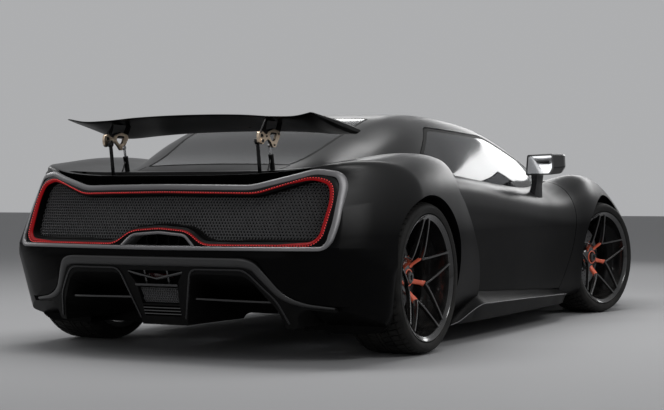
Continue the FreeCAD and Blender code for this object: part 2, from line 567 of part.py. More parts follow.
def make_corner(radius, width, rim_radius, dish, rotor_radius, caliper_at, arm_sign):
    """One left-hand corner about its wheel's centre, +Y outwards. Returns its pieces by name."""
    half = width / 2
    seat = rim_radius - bead_step
    lip, bead = half - rim_inset, half - bead_inset
    hub_y = lip - dish
    back = hub_y - hub_thickness
    rotor_y = back - bell_depth
    shoulder = [(bead, seat), (bead, rim_radius - 2), (half - 3, rim_radius + 14), (half, rim_radius + 28),
                (half - 4, radius - 16), (half - 14, radius - 4), (half - 30, radius)]
    tyre = turned_ring(shoulder + [(-y, r) for y, r in reversed(shoulder)])
    barrel = turned_ring([(-lip, seat - barrel_wall), (lip, seat - barrel_wall), (lip, rim_radius - 3),
                          (bead, rim_radius - 3), (bead, seat), (-bead, seat), (-bead, rim_radius - 3),
                          (-lip, rim_radius - 3)])
    hub = turned_ring([(back, stub_radius + running_gap), (back, 82), (hub_y - 8, 82), (hub_y, 70), (hub_y, 0),
                       (hub_y - 12, 0), (hub_y - 12, stub_radius + running_gap)])
    spokes = []
    for i in range(twin_spokes):
        for twin in (-1, 1):
            wires = []
            for r, angle, wide, y0, y1 in ((60, 10, 17, hub_y - 32, hub_y), (seat - 6, 12.5, 10, lip - 34, lip - 4)):
                t = math.radians(360.0 * i / twin_spokes + twin * angle)
                out, round_ = V(math.sin(t), 0, math.cos(t)), V(math.cos(t), 0, -math.sin(t))
                ring = [out * r + round_ * (side * wide) + V(0, y, 0)
                        for side, y in ((-1, y0), (1, y0), (1, y1), (-1, y1))]
                wires.append(Part.makePolygon(ring + [ring[0]]))
            spokes.append(Part.makeLoft(wires, True, True))
    rim = barrel.fuse([hub] + spokes).removeSplitter()
    disc = turned_ring([(back, stub_radius + running_gap), (back, 80), (rotor_y, 80), (rotor_y, rotor_radius),
                        (rotor_y - rotor_thickness, rotor_radius), (rotor_y - rotor_thickness, 70),
                        (back - 9, 70), (back - 9, stub_radius + running_gap)])
    rotor_in = rotor_y - rotor_thickness
    outer = rotor_radius + 30
    caliper = turned_ring([(rotor_y + 22, 132), (rotor_y + 22, outer), (rotor_in - 22, outer), (rotor_in - 22, 132),
                           (rotor_in - 6, 132), (rotor_in - 6, rotor_radius + 6), (rotor_y + 6, rotor_radius + 6),
                           (rotor_y + 6, 132)], 62).rotate(V(0, 0, 0), V(0, 1, 0), caliper_at - 31)
    face_y = rotor_in - 22
    end_y = face_y - 24
    carrier = Part.makeCylinder(58, 24 + 14, V(0, end_y, 0), V(0, 1, 0))
    stub = Part.makeCylinder(stub_radius, hub_y - 14 - end_y, V(0, end_y, 0), V(0, 1, 0))
    upright = box(-30, 30, end_y, face_y, -ball_height, ball_height)
    pins = [Part.makeCylinder(ball_pin_radius, 2 * (ball_height + 36), V(0, (end_y + face_y) / 2, -ball_height - 36))]
    ear = turned_ring([(end_y, 50), (end_y, outer - 12), (face_y, outer - 12), (face_y, 50)], 46).rotate(
        V(0, 0, 0), V(0, 1, 0), caliper_at - 23)
    arm = bar((0, (end_y + face_y) / 2, -40), (arm_sign * 125, (end_y + face_y) / 2, -40), 22, 26)
    knuckle = carrier.fuse([stub, upright, ear, arm, caliper] + pins).removeSplitter()
    return {"tyre": tyre, "rim": rim, "disc": disc, "knuckle": knuckle}, (end_y + face_y) / 2


front, front_pin_y = make_corner(front_tyre_radius, front_tyre_width, front_rim_radius, 90, 190, 250, -1)
rear, rear_pin_y = make_corner(rear_tyre_radius, rear_tyre_width, rear_rim_radius, 105, 195, 90, -1)
kingpin_y = front_track / 2 + front_pin_y
rear_pin_y = rear_track / 2 + rear_pin_y
for name, shape in front.items():
    straight = moved(shape, front_axle_x, front_track / 2, front_tyre_radius)
    left = straight.copy().rotate(V(front_axle_x, kingpin_y, 0), V(0, 0, 1), -steer_at_rest)
    right = mirrored(straight).rotate(V(front_axle_x, -kingpin_y, 0), V(0, 0, 1), -steer_at_rest)
    keep(name + "_front_left", left)
    keep(name + "_front_right", right)
for name, shape in rear.items():
    left = moved(shape, rear_axle_x, rear_track / 2, rear_tyre_radius)
    if name == "knuckle":
        keep("knuckles_rear", both_sides(left))
    else:
        keep(name + "_rear_left", left)
        keep(name + "_rear_right", mirrored(left))

# ---------------------------------------------------------------- chassis, suspension and engine
floor_thickness = 40.0
tub_half_width = cabin_half_width - 4
sill_inner_y = 600.0
bulkhead_thickness = 36.0
seat_floor_z = ground_clearance + floor_thickness
sill_top_z = 400.0
bulkhead_top_half_width = cabin_half_width - 115
tub = fused(
    box(bulkhead_x, door_front_x, -tub_half_width, tub_half_width, ground_clearance, seat_floor_z),
    box(door_front_x - 1, toe_board_x, -footwell_half_width, footwell_half_width, ground_clearance, seat_floor_z),
    box(bulkhead_x, door_front_x, sill_inner_y, tub_half_width, seat_floor_z - 1, sill_top_z),
    box(bulkhead_x, door_front_x, -tub_half_width, -sill_inner_y, seat_floor_z - 1, sill_top_z),
    box(bulkhead_x, bulkhead_x + bulkhead_thickness, -tub_half_width, tub_half_width, seat_floor_z - 1, cabin_top_z),
    box(bulkhead_x, bulkhead_x + bulkhead_thickness, -bulkhead_top_half_width, bulkhead_top_half_width,
        cabin_top_z - 1, top).common(house_lining),
    box(bulkhead_x, toe_board_x - 60, -110, 110, seat_floor_z - 1, 330),
    box(toe_board_x - 40, toe_board_x, -footwell_half_width, footwell_half_width, seat_floor_z - 1, 600))
keep("tub", tub)

subframe_y = arm_pocket_y
rail = 40.0
rails = []
for z in (190.0, undertail_z):
    for sign in (1, -1):
        y0 = subframe_y if sign > 0 else -subframe_y - rail
        rails.append(box(diffuser_front_x, bulkhead_x, y0, y0 + rail, z, z + rail))
for x in (diffuser_front_x, rear_axle_x + 240):
    rails.append(box(x, x + rail, -subframe_y - rail, subframe_y + rail, 190, 190 + rail))
    for sign in (1, -1):
        y0 = subframe_y if sign > 0 else -subframe_y - rail
        rails.append(box(x, x + rail, y0, y0 + rail, 190, undertail_z + rail))
keep("rear_subframe", fused(*rails))
engine = fused(box(rear_axle_x + 260, bulkhead_x - 40, -270, 270, 232, 700),
               box(diffuser_front_x, rear_axle_x + 261, -190, 190, 232, 480),
               box(rear_axle_x + 300, rear_axle_x + 380, -subframe_y - rail, subframe_y + rail,
                   undertail_z + rail, undertail_z + rail + 30),
               box(rear_axle_x + 440, bulkhead_x - 80, -120, 120, 699, 760))
keep("engine", engine)


def wishbone(axle_x, pin_y, z, inner_y, spread):
    """A left-hand arm at height z, from two pivots near the car's middle out to its ball joint's eye."""
    eye = Part.makeCylinder(21, 24, V(axle_x, pin_y, z - 12))
    arms = [polygon([(axle_x, pin_y, z - 10), (axle_x + s * (spread + 14), inner_y, z - 10),
                     (axle_x + s * (spread - 14), inner_y, z - 10)]).extrude(V(0, 0, 20)) for s in (1, -1)]
    pads = [box(axle_x + s * spread - 24, axle_x + s * spread + 24, inner_y, inner_y + 24, z - 14, z + 14)
            for s in (1, -1)]
    hole = Part.makeCylinder(ball_pin_radius + running_gap, 60, V(axle_x, pin_y, z - 30))
    return eye.fuse(arms + pads).removeSplitter().cut(hole)


arms = []
for axle_x, pin_y, wheel_z, inner_y, spread in (
        (front_axle_x, kingpin_y, front_tyre_radius, arm_pocket_y, 130),
        (rear_axle_x, rear_pin_y, rear_tyre_radius, subframe_y + rail, 130)):
    for up in (1, -1):
        arm = wishbone(axle_x, pin_y, wheel_z + up * (ball_height + 20), inner_y, spread)
        arms += [arm, mirrored(arm)]
shaft_end = rear_pin_y - 12
driveshaft = Part.makeCylinder(17, shaft_end - 190, V(rear_axle_x, 190, rear_tyre_radius), V(0, 1, 0))
keep("suspension_arms", Part.makeCompound(arms + [driveshaft, mirrored(driveshaft)]))

# ---------------------------------------------------------------- cabin
seat_x = rear_axle_x + 1340
seat_y = 355.0
seat_side = [(seat_x - 400, seat_floor_z), (seat_x + 190, seat_floor_z), (seat_x + 230, seat_floor_z + 150),
             (seat_x - 230, seat_floor_z + 105), (seat_x - 440, seat_floor_z + 640), (seat_x - 480, seat_floor_z + 830),
             (seat_x - 520, seat_floor_z + 820), (seat_x - 500, seat_floor_z + 560)]
seat = prism(seat_side, "xz", seat_y - 210, seat_y + 210).fuse([
    prism([(seat_x - 260, seat_floor_z + 60), (seat_x + 200, seat_floor_z + 100), (seat_x + 180, seat_floor_z + 200),
           (seat_x - 200, seat_floor_z + 190), (seat_x - 380, seat_floor_z + 600), (seat_x - 450, seat_floor_z + 600)],
          "xz", seat_y + s * 190 - 25, seat_y + s * 190 + 25) for s in (1, -1)]).removeSplitter()
keep("seats", both_sides(seat))
dash_x = front_axle_x - 640
dashboard = fused(
    prism([(dash_x, 600), (dash_x - 10, 700), (dash_x + 60, 765), (dash_x + 145, 775), (dash_x + 145, 560)], "xz",
          20 - cabin_half_width, cabin_half_width - 20),
    prism([(bulkhead_x + 300, 331), (dash_x - 120, 331), (dash_x + 60, 420), (dash_x + 80, 620), (dash_x + 20, 640),
           (dash_x - 60, 470), (bulkhead_x + 420, 400)], "xz", -100, 100))
keep("dashboard", dashboard.cut([Part.makeCompound([house_skin])]))
column_tilt = 20.0
wheel_centre = V(dash_x - 190, seat_y, 640)
hand_ring = Part.makeTorus(165, 15, wheel_centre, V(-1, 0, 0))
hand_hub = Part.makeCylinder(48, 40, wheel_centre, V(1, 0, 0))
hand_bars = [box(wheel_centre.x - 4, wheel_centre.x + 12, seat_y - 158, seat_y + 158, 625, 655),
             box(wheel_centre.x - 4, wheel_centre.x + 12, seat_y - 15, seat_y + 15, 482, 640)]
column = Part.makeCylinder(24, 195, wheel_centre, V(1, 0, 0))
hand_wheel = hand_ring.fuse([hand_hub, column] + hand_bars).removeSplitter()
keep("steering_wheel", hand_wheel.rotate(wheel_centre, V(0, 1, 0), column_tilt).cut(dashboard))

os.makedirs("parts", exist_ok=True)
for name, shape in nodes.items():
    print(name, len(shape.Solids), round(shape.Volume / 1e6, 2), shape.isValid())
    shape.exportStep("parts/" + name + ".step")
print(len(nodes), "nodes")
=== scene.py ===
# %% [markdown]
# # A satin-black hypercar, dressed panel by panel
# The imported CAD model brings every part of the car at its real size: wheels, engine, suspension, panels, glass.
# Its panels are faceted, because they only have to weigh, collide and move. This lesson makes the skin that a
# person sees: smooth body panels cut along their real shut lines, glass, lamps, mesh, rims, tyres and trim.
# Everything is drawn in the car's own frame: +X to the nose, +Y to the car's left, +Z up, metres.

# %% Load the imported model
import bpy
import bmesh
import json
import math
import numpy as np
from mathutils import Matrix, Vector
from mathutils.bvhtree import BVHTree

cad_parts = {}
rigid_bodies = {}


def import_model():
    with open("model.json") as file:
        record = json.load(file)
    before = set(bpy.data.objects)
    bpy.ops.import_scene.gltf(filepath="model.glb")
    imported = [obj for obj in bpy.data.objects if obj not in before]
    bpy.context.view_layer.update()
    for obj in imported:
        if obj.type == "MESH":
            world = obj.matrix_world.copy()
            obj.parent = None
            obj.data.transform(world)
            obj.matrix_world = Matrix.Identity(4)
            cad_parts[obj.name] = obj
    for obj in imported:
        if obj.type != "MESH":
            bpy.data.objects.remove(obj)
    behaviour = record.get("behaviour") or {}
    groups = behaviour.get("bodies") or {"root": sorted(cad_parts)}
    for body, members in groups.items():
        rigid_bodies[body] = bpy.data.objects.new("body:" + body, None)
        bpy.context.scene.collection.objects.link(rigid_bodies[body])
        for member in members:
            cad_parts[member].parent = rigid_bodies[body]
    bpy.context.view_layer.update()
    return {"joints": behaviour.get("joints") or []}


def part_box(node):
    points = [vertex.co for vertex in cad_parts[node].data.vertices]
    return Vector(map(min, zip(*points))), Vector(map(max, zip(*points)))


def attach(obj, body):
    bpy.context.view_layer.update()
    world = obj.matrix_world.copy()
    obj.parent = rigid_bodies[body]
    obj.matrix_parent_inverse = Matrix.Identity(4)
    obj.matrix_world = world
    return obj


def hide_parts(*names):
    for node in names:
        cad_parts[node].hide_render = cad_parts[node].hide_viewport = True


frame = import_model()
scene = bpy.context.scene
joints = {joint["name"]: joint for joint in frame["joints"]}

# %% [markdown]
# ## Sizes that everything hangs on
# A car is laid out from its axles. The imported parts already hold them, so they are read from there and not typed
# again. Body tables are written in millimetres, as a body draughtsman would, and `mm` turns them into metres.

# %% Axles, ends and half width
mm = 0.001


def centre(node):
    """The middle of a CAD node's box."""
    low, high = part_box(node)
    return (low + high) / 2


rear_axle = round(centre("rim_rear_left").x / mm)
front_axle = round(joints["steer_left"]["pos_m"][0] / mm)
nose_end = round(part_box("front_clam")[1].x / mm / 100) * 100
tail_end = -nose_end
half_width = 1015.0
roof_top = 1160.0
front_tyre_radius = 340.0
rear_tyre_radius = 350.0
panel_gap = 6.0
print("axles at", rear_axle, front_axle, "ends at", tail_end, nose_end)

# %% [markdown]
# ## Drawing a smooth body from sections
# Coachbuilders draw a body as a row of cross sections. Straight lines between them give the flat facets of the CAD
# model. Here each column of the table becomes a smooth curve along the car, and each section's corners are cut
# again and again, which is Chaikin's way to a soft curve. Subdivision Surface could do this too, but then the
# section heights would shrink away from the drawing, and cutting exact shut lines would be harder.

# %% Smooth curves through a table


def smooth_rows(table, at):
    """The table's rows at new values of its first column, along a smooth curve through the given rows."""
    table = np.array(sorted(table), float)
    x = table[:, 0]
    slope = np.gradient(table, x, axis=0)
    at = np.asarray(at, float)
    k = np.clip(np.searchsorted(x, at) - 1, 0, len(x) - 2)
    step = (x[k + 1] - x[k])[:, None]
    t = ((at - x[k]) / (x[k + 1] - x[k]))[:, None]
    return ((2 * t**3 - 3 * t**2 + 1) * table[k] + (t**3 - 2 * t**2 + t) * step * slope[k]
            + (3 * t**2 - 2 * t**3) * table[k + 1] + (t**3 - t**2) * step * slope[k + 1])


def soft_corners(points, rounds=3):
    """Chaikin's corner cutting on the second-last axis. The two ends stay where they are."""
    points = np.asarray(points, float)
    for _ in range(rounds):
        before, here, after = points[..., :-2, :], points[..., 1:-1, :], points[..., 2:, :]
        pairs = np.stack([0.25 * before + 0.75 * here, 0.75 * here + 0.25 * after], axis=-2)
        middle = pairs.reshape(*points.shape[:-2], -1, points.shape[-1])
        points = np.concatenate([points[..., :1, :], middle, points[..., -1:, :]], axis=-2)
    return points


# %% Turning rings of points into solids
workbench = []


def add_object(name, mesh):
    obj = bpy.data.objects.new(name, mesh)
    scene.collection.objects.link(obj)
    return obj


def mesh_object(name, corners, faces, outward=True):
    """An object from corners in millimetres. Its faces are turned outwards unless told otherwise."""
    mesh = bpy.data.meshes.new(name)
    mesh.from_pydata((np.asarray(corners, float) * mm).tolist(), [], faces)
    if outward:
        work = bmesh.new()
        work.from_mesh(mesh)
        bmesh.ops.recalc_face_normals(work, faces=work.faces)
        work.to_mesh(mesh)
        work.free()
    return add_object(name, mesh)


def ring_solid(name, rings, closed=False):
    """A closed skin over rings of equal size, with a fan at each end, or joined end to start where closed."""
    rings = np.asarray(rings, float)
    count, size = rings.shape[:2]
    faces = []
    for r in range(count if closed else count - 1):
        a, b = r * size, (r + 1) % count * size
        faces += [(a + k, a + (k + 1) % size, b + (k + 1) % size, b + k) for k in range(size)]
    corners = rings.reshape(-1, 3)
    if not closed:
        for r in (0, count - 1):
            middle = len(corners)
            corners = np.vstack([corners, rings[r].mean(0)])
            faces += [(r * size + k, r * size + (k + 1) % size, middle) for k in range(size)]
    return mesh_object(name, corners, faces)


def tool(obj):
    """Marks a solid that only cuts others and is thrown away at the end."""
    workbench.append(obj)
    return obj


# %% Solids from flat outlines, and cutting tools
point_on = {"xz": lambda a, b, c: (a, c, b), "yz": lambda a, b, c: (c, a, b), "xy": lambda a, b, c: (a, b, c)}


def layered(name, plane, layers, closed=False):
    """A solid through flat outlines on two axes. layers: (place on the third axis, outline) pairs."""
    return ring_solid(name, [[point_on[plane](a, b, c) for a, b in outline] for c, outline in layers], closed)


def prism(outline, plane, low, high):
    """An outline on two axes, pushed along the third from low to high."""
    return tool(layered("tool", plane, ((low, outline), (high, outline))))


def full_turn(sides):
    return np.linspace(0, 2 * math.pi, sides, endpoint=False)


def rectangle(a, b, middle=(0, 0)):
    """Corners of a rectangle that reaches a and b from its middle."""
    return [(middle[0] + s * a, middle[1] + t * b) for s, t in ((-1, -1), (1, -1), (1, 1), (-1, 1))]


def circle(a, b, radius, sides):
    return [(a + radius * math.cos(t), b + radius * math.sin(t)) for t in full_turn(sides)]


def round_hole(x, z, radius, low_y, high_y, sides=160):
    return prism(circle(x, z, radius, sides), "xz", low_y, high_y)


def block(x0, x1, y0, y1, z0, z1):
    return prism([(x0, y0), (x1, y0), (x1, y1), (x0, y1)], "xy", z0, z1)


def from_axle(axle, rows):
    """Rows whose first number is counted forwards from an axle."""
    return [(axle + x, *rest) for x, *rest in rows]


def plan(half):
    """A closed plan outline across the car, from (x, y) points down its left side."""
    return half + [(x, -y) for x, y in reversed(half)]


def across(half):
    """A full outline from its left half, listed from the centre line round to the centre line."""
    return half + [(-y, z) for y, z in reversed(half) if y > 0]


def grown(outline, gap):
    """The outline with every side moved out by gap, or in where gap is negative."""
    area = sum(a[0] * b[1] - b[0] * a[1] for a, b in zip(outline, outline[1:] + outline[:1]))
    turn = 1.0 if area > 0 else -1.0
    moved = []
    for before, here, after in zip(outline[-1:] + outline[:-1], outline, outline[1:] + outline[:1]):
        sides = [(b[0] - a[0], b[1] - a[1]) for a, b in ((before, here), (here, after))]
        (ax, ay), (bx, by) = [(turn * dy / math.hypot(dx, dy), -turn * dx / math.hypot(dx, dy)) for dx, dy in sides]
        scale = gap / (1 + ax * bx + ay * by)
        moved.append((here[0] + (ax + bx) * scale, here[1] + (ay + by) * scale))
    return moved


def filleted(outline, radius, steps=5, closed=True):
    """The outline with an arc-like curve of about radius in place of each corner."""
    result = []
    last = len(outline) - 1
    for i, here in enumerate(outline):
        if not closed and i in (0, last):
            result.append(tuple(here))
            continue
        here = np.array(here, float)
        before, after = np.array(outline[i - 1], float), np.array(outline[(i + 1) % len(outline)], float)
        into, out = here - before, after - here
        reach = min(radius, 0.48 * np.linalg.norm(into), 0.48 * np.linalg.norm(out))
        a = here - into / np.linalg.norm(into) * reach
        b = here + out / np.linalg.norm(out) * reach
        for s in np.linspace(0, 1, steps):
            result.append(tuple((1 - s) ** 2 * a + 2 * s * (1 - s) * here + s**2 * b))
    return result


# %% Cutting and mirroring


def evaluated_mesh(obj):
    """The mesh with its modifiers applied."""
    graph = bpy.context.evaluated_depsgraph_get()
    return bpy.data.meshes.new_from_object(obj.evaluated_get(graph), preserve_all_data_layers=True, depsgraph=graph)


def combined(name, start, **steps):
    """A new object: start, met with the solids in `meet` and then cut by those in `cut`."""
    obj = add_object(name, start.data.copy())
    for operation, solids in (("INTERSECT", steps.get("meet", ())), ("DIFFERENCE", steps.get("cut", ()))):
        for solid in solids:
            step = obj.modifiers.new("step", "BOOLEAN")
            step.operation = operation
            step.object = solid
            step.solver = "MANIFOLD"
    mesh = evaluated_mesh(obj)
    obj.modifiers.clear()
    obj.data = mesh
    return obj


def flipped(obj, axis):
    """Turns a piece into its own mirror image."""
    obj.data.transform(Matrix.Scale(-1, 4, Vector(axis)))
    obj.data.flip_normals()
    return obj


def mirrored(obj, name):
    """The same piece on the other side of the car."""
    return flipped(add_object(name, obj.data.copy()), (0, 1, 0))


def joined(name, parts):
    """One object from several, which are used up."""
    work = bmesh.new()
    for part in parts:
        work.from_mesh(part.data)
        bpy.data.objects.remove(part)
    mesh = bpy.data.meshes.new(name)
    work.to_mesh(mesh)
    work.free()
    return add_object(name, mesh)


def smooth(obj, angle=32):
    """Soft shading, with a hard edge wherever two faces meet at more than the angle."""
    obj.data.shade_smooth()
    obj.data.set_sharp_from_angle(angle=math.radians(angle))
    return obj
# %% [markdown]
# ## The three big forms
# The body is three overlapping forms: the core (sills, doors, front wings and nose), the haunches (rear wings and
# tail), and the greenhouse (windscreen, roof and fastback). Panels are cut out of these, the way that clay is cut
# to make patterns, so neighbouring panels always run on from each other.

# %% The core's sections
# Columns: x, then (inset from half the width, height) of the floor edge, sill, flank, shoulder, crest and inner
# crest, then the height of the middle.
core_table = from_axle(rear_axle, [
    (180, 235, 110, 150, 135, 152, 400, 98, 775, 200, 865, 420, 880, 880),
    (800, 235, 110, 142, 135, 152, 400, 98, 752, 207, 832, 430, 850, 850),
    (1400, 235, 110, 138, 135, 150, 395, 98, 700, 218, 795, 440, 815, 825),
]) + from_axle(front_axle, [
    (-840, 235, 110, 132, 135, 138, 385, 96, 652, 214, 770, 440, 820, 845),
    (-490, 240, 110, 115, 135, 98, 400, 78, 640, 185, 800, 430, 820, 860),
    (-230, 250, 110, 95, 135, 50, 420, 45, 690, 175, 885, 470, 770, 805),
    (0, 255, 110, 95, 135, 28, 430, 40, 690, 200, 885, 490, 715, 740),
    (310, 270, 110, 120, 135, 38, 420, 65, 640, 235, 815, 530, 640, 665),
    (610, 300, 110, 170, 130, 80, 385, 120, 550, 285, 685, 580, 565, 580),
    (860, 360, 110, 250, 125, 160, 330, 210, 445, 360, 545, 640, 480, 490),
    (1110, 430, 110, 320, 120, 250, 290, 300, 350, 420, 425, 680, 400, 405),
])


def closed_halves(y, z, top):
    """Half sections from points at (y, z), led to the middle of the car at the foot and at the top."""
    foot, head = (np.stack([np.zeros(len(z)), height], -1)[:, None] for height in (z[:, 0], top))
    return np.concatenate([foot, np.stack([y, z], -1), head], 1)


def inset_pairs(rows, inset=0.0):
    """Half sections from rows of (x, inset, height, inset, height, ..., middle height), shrunk by inset."""
    pairs = rows[:, 1:-1].reshape(len(rows), -1, 2)
    y = half_width - pairs[:, :, 0] - inset
    z = pairs[:, :, 1].copy()
    z[:, :2] += inset
    z[:, 3:] -= inset
    return closed_halves(y, z, rows[:, -1] - inset)


# %% The haunches' sections
# Columns: x, then (inset from half the width, height) of the floor edge, low edge, flank, widest line, shoulder,
# crest and valley, then the height of the middle.
haunch_table = from_axle(rear_axle, [
    (960, 300, 110, 130, 150, 80, 340, 55, 500, 110, 700, 240, 815, 560, 820, 800),
    (640, 270, 110, 100, 150, 52, 350, 36, 570, 82, 800, 215, 895, 520, 840, 830),
    (340, 240, 110, 70, 150, 22, 360, 0, 590, 45, 838, 182, 945, 470, 855, 850),
    (0, 200, 110, 55, 150, 8, 360, -20, 590, 28, 840, 162, 945, 440, 865, 860),
    (-310, 200, 110, 55, 130, 12, 340, -14, 575, 36, 805, 165, 915, 430, 848, 845),
    (-610, 200, 110, 55, 130, 18, 330, 0, 560, 50, 770, 170, 880, 430, 825, 828),
    (-910, 200, 110, 60, 130, 25, 320, 14, 545, 65, 728, 175, 838, 430, 776, 776),
])

# %% The greenhouse's sections
# Columns: x, then (half width, drop below the roof) of the base, waist, rail and the edge of the roof's flat, and
# the drop of the middle.
greenhouse_table = from_axle(front_axle, [
    (90, 560, 520, 540, 460, 420, 425, 200, 412, 412),
    (-240, 690, 500, 665, 400, 540, 330, 260, 285, 282),
    (-590, 752, 480, 728, 350, 590, 215, 300, 155, 150),
    (-1040, 782, 460, 756, 330, 590, 85, 300, 42, 36),
    (-1540, 792, 440, 765, 320, 585, 25, 290, 9, 6),
]) + from_axle(rear_axle, [
    (810, 792, 420, 765, 310, 580, 18, 290, 8, 6),
    (510, 780, 400, 752, 310, 575, 45, 290, 34, 30),
    (210, 730, 400, 705, 320, 565, 138, 290, 125, 122),
    (-90, 650, 420, 620, 350, 520, 255, 280, 243, 240),
    (-450, 560, 440, 540, 400, 450, 345, 260, 338, 336),
])


def greenhouse_halves(rows, inset=0.0):
    """Half sections from rows of (x, half width, drop, half width, drop, ..., middle drop), shrunk by inset."""
    pairs = rows[:, 1:-1].reshape(len(rows), -1, 2)
    y = pairs[:, :, 0] - np.array([inset, inset, inset, 0])
    z = roof_top - pairs[:, :, 1] - np.array([0, 0, inset, inset])
    return closed_halves(y, z, roof_top - rows[:, -1] - inset)


def full_rings(halves, x):
    """Whole closed sections from left halves: rings of (x, y, z)."""
    halves = soft_corners(halves)
    other = halves[:, -2:0:-1] * np.array([-1, 1])
    flat = np.concatenate([halves, other], 1)
    return np.concatenate([np.broadcast_to(np.asarray(x, float)[:, None, None], (*flat.shape[:2], 1)), flat], -1)


form_step = 22.0


def form_rings(table, halves, spacing=form_step, inset=0.0):
    """A form's sections at even steps from one end of its table to the other, shrunk by inset."""
    low, high = sorted((table[0][0], table[-1][0]))
    x = np.linspace(low, high, int((high - low) / spacing) + 1)
    return full_rings(halves(smooth_rows(table, x), inset), x)


# %% The two ends
# Half plan curves of the ends: (y, distance inboard of the car's end), at a low and a high level. Each end face
# leans between its levels.
tail_face = {"end": tail_end, "sign": -1, "low_z": 500.0, "high_z": 800.0,
             "low": [(0, 46), (250, 47), (460, 57), (650, 78), (780, 108), (845, 142), (900, 200), (960, 330),
                     (1040, 560)],
             "high": [(0, 105), (260, 112), (470, 150), (640, 196), (740, 232), (800, 265), (850, 330), (900, 440),
                      (1000, 700)]}
undertail_face = {"end": tail_end, "sign": -1, "low_z": 180.0, "high_z": 430.0,
                  "low": [(0, 100), (200, 104), (465, 118), (612, 166), (800, 250), (900, 320), (1000, 440),
                          (1100, 640)],
                  "high": [(0, 11), (200, 13), (465, 25), (612, 70), (800, 150), (900, 220), (1000, 340),
                           (1100, 540)]}
nose_face = {"end": nose_end, "sign": 1, "low_z": 110.0, "high_z": 420.0,
             "low": [(0, 60), (250, 74), (450, 110), (620, 180), (760, 300), (860, 450), (960, 700), (1060, 1050)],
             "high": [(0, 12), (250, 26), (450, 66), (620, 140), (760, 262), (880, 430), (980, 640), (1100, 980)]}


def dense_curve(points, count=80):
    """Evenly numbered points along a smooth line through the given ones."""
    rows = [(i, *p) for i, p in enumerate(points)]
    return smooth_rows(rows, np.linspace(0, len(points) - 1, count))[:, 1:]


def face_x(face, y, z, shift=0.0):
    """x of an end face at each (y, z), shift further inboard."""
    low, high = dense_curve(face["low"]), dense_curve(face["high"])
    share = (np.ravel(z) - face["low_z"]) / (face["high_z"] - face["low_z"])
    back = [np.interp(abs(v), low[:, 0] + (high[:, 0] - low[:, 0]) * s, low[:, 1] + (high[:, 1] - low[:, 1]) * s)
            for v, s in zip(np.ravel(y), share)]
    return (face["end"] - face["sign"] * (np.array(back) + shift)).reshape(np.shape(y))


def end_mass(face, shift=0.0, rows=12):
    """Everything inboard of a leaning, curved end face."""
    low, high = dense_curve(face["low"]), dense_curve(face["high"])
    inner = face["end"] - face["sign"] * 3000.0
    rings = []
    for z in np.linspace(0.0, 1300.0, rows):
        share = (z - face["low_z"]) / (face["high_z"] - face["low_z"])
        curve = low + (high - low) * share
        half = [(face["end"] - face["sign"] * (back + shift), y) for y, back in curve]
        outline = [(x, -y) for x, y in reversed(half[1:])] + half
        outline += [(inner, half[-1][1]), (inner, -half[-1][1])]
        rings.append([(x, y, z) for x, y in outline])
    return tool(ring_solid("tool", rings))
# %% [markdown]
# ## Rounding the tail and the nose
# On the real car the flank flows round the rear corner into the tail in one soft sweep. A plain cut would leave a
# knife edge there. So every line that runs along the form is led up to the end face, turned through a small curve
# and carried on over the face to its middle. A Bevel modifier would do this on simple shapes, but it breaks up
# where a curved skin meets a curved face at a changing angle.

# %% Lead each line of a form round its end


def rounded_end_form(name, table, faces, hub_z, turn_radius):
    """A solid form whose far end is rounded onto end faces and closes round a hub at hub_z. turn_radius(y, z) is
    how far back the turn starts."""
    rings = form_rings(table, inset_pairs)
    sign = faces[0]["sign"]
    if sign < 0:
        rings = rings[::-1]

    def over_end(y, z):
        """x of the end, from whichever face lies furthest inboard."""
        walls = np.array([face_x(face, y, z) for face in faces])
        return walls.min(0) if sign > 0 else walls.max(0)

    size = rings.shape[1]
    beyond = sign * (rings[:, :, 0] - over_end(rings[:, :, 1], rings[:, :, 2]))
    first_out = np.argmax(beyond > 0, axis=0)
    lines = []
    for k in range(size):
        j = max(first_out[k], 1)
        share = -beyond[j - 1, k] / (beyond[j, k] - beyond[j - 1, k])
        lines.append(rings[j - 1, k] + (rings[j, k] - rings[j - 1, k]) * share)
    edge = np.array(lines)
    radius = turn_radius(edge[:, 1], edge[:, 2])
    order = rings[:, 0, 0] * sign
    skin = []
    for t in np.linspace(0, 1, len(rings)):
        x = rings[0, 0, 0] + t * (edge[:, 0] - sign * radius - rings[0, 0, 0])
        ring = [[np.interp(x[k] * sign, order, rings[:, k, axis]) for axis in (1, 2)] for k in range(size)]
        skin.append(np.column_stack([x, np.array(ring)]))
    start = skin[-1]
    hub = np.array([0.0, hub_z])
    inward = hub - edge[:, 1:]
    reach = np.linalg.norm(inward, axis=1)[:, None]
    landing = edge[:, 1:] + inward / reach * np.minimum(radius[:, None], 0.5 * reach)
    landing = np.column_stack([over_end(landing[:, 0], landing[:, 1]), landing])
    for t in np.linspace(0, 1, 8)[1:]:
        skin.append((1 - t) ** 2 * start + 2 * t * (1 - t) * edge + t**2 * landing)
    for t in (0.06, 0.14, 0.25, 0.4, 0.6, 0.8, 0.97):
        flat = landing[:, 1:] + (hub - landing[:, 1:]) * t
        skin.append(np.column_stack([over_end(flat[:, 0], flat[:, 1]), flat]))
    return tool(ring_solid(name, skin))


def tail_turn(y, z):
    """A broad turn at the shoulder, a tighter one under the deck and down the bumper's side."""
    side = np.clip((abs(y) - 500) / 350, 0, 1)
    return 16 + 24 * side * np.clip((z - 380) / 350, 0.35, 1)


def nose_turn(y, z):
    return 34 + 0 * y


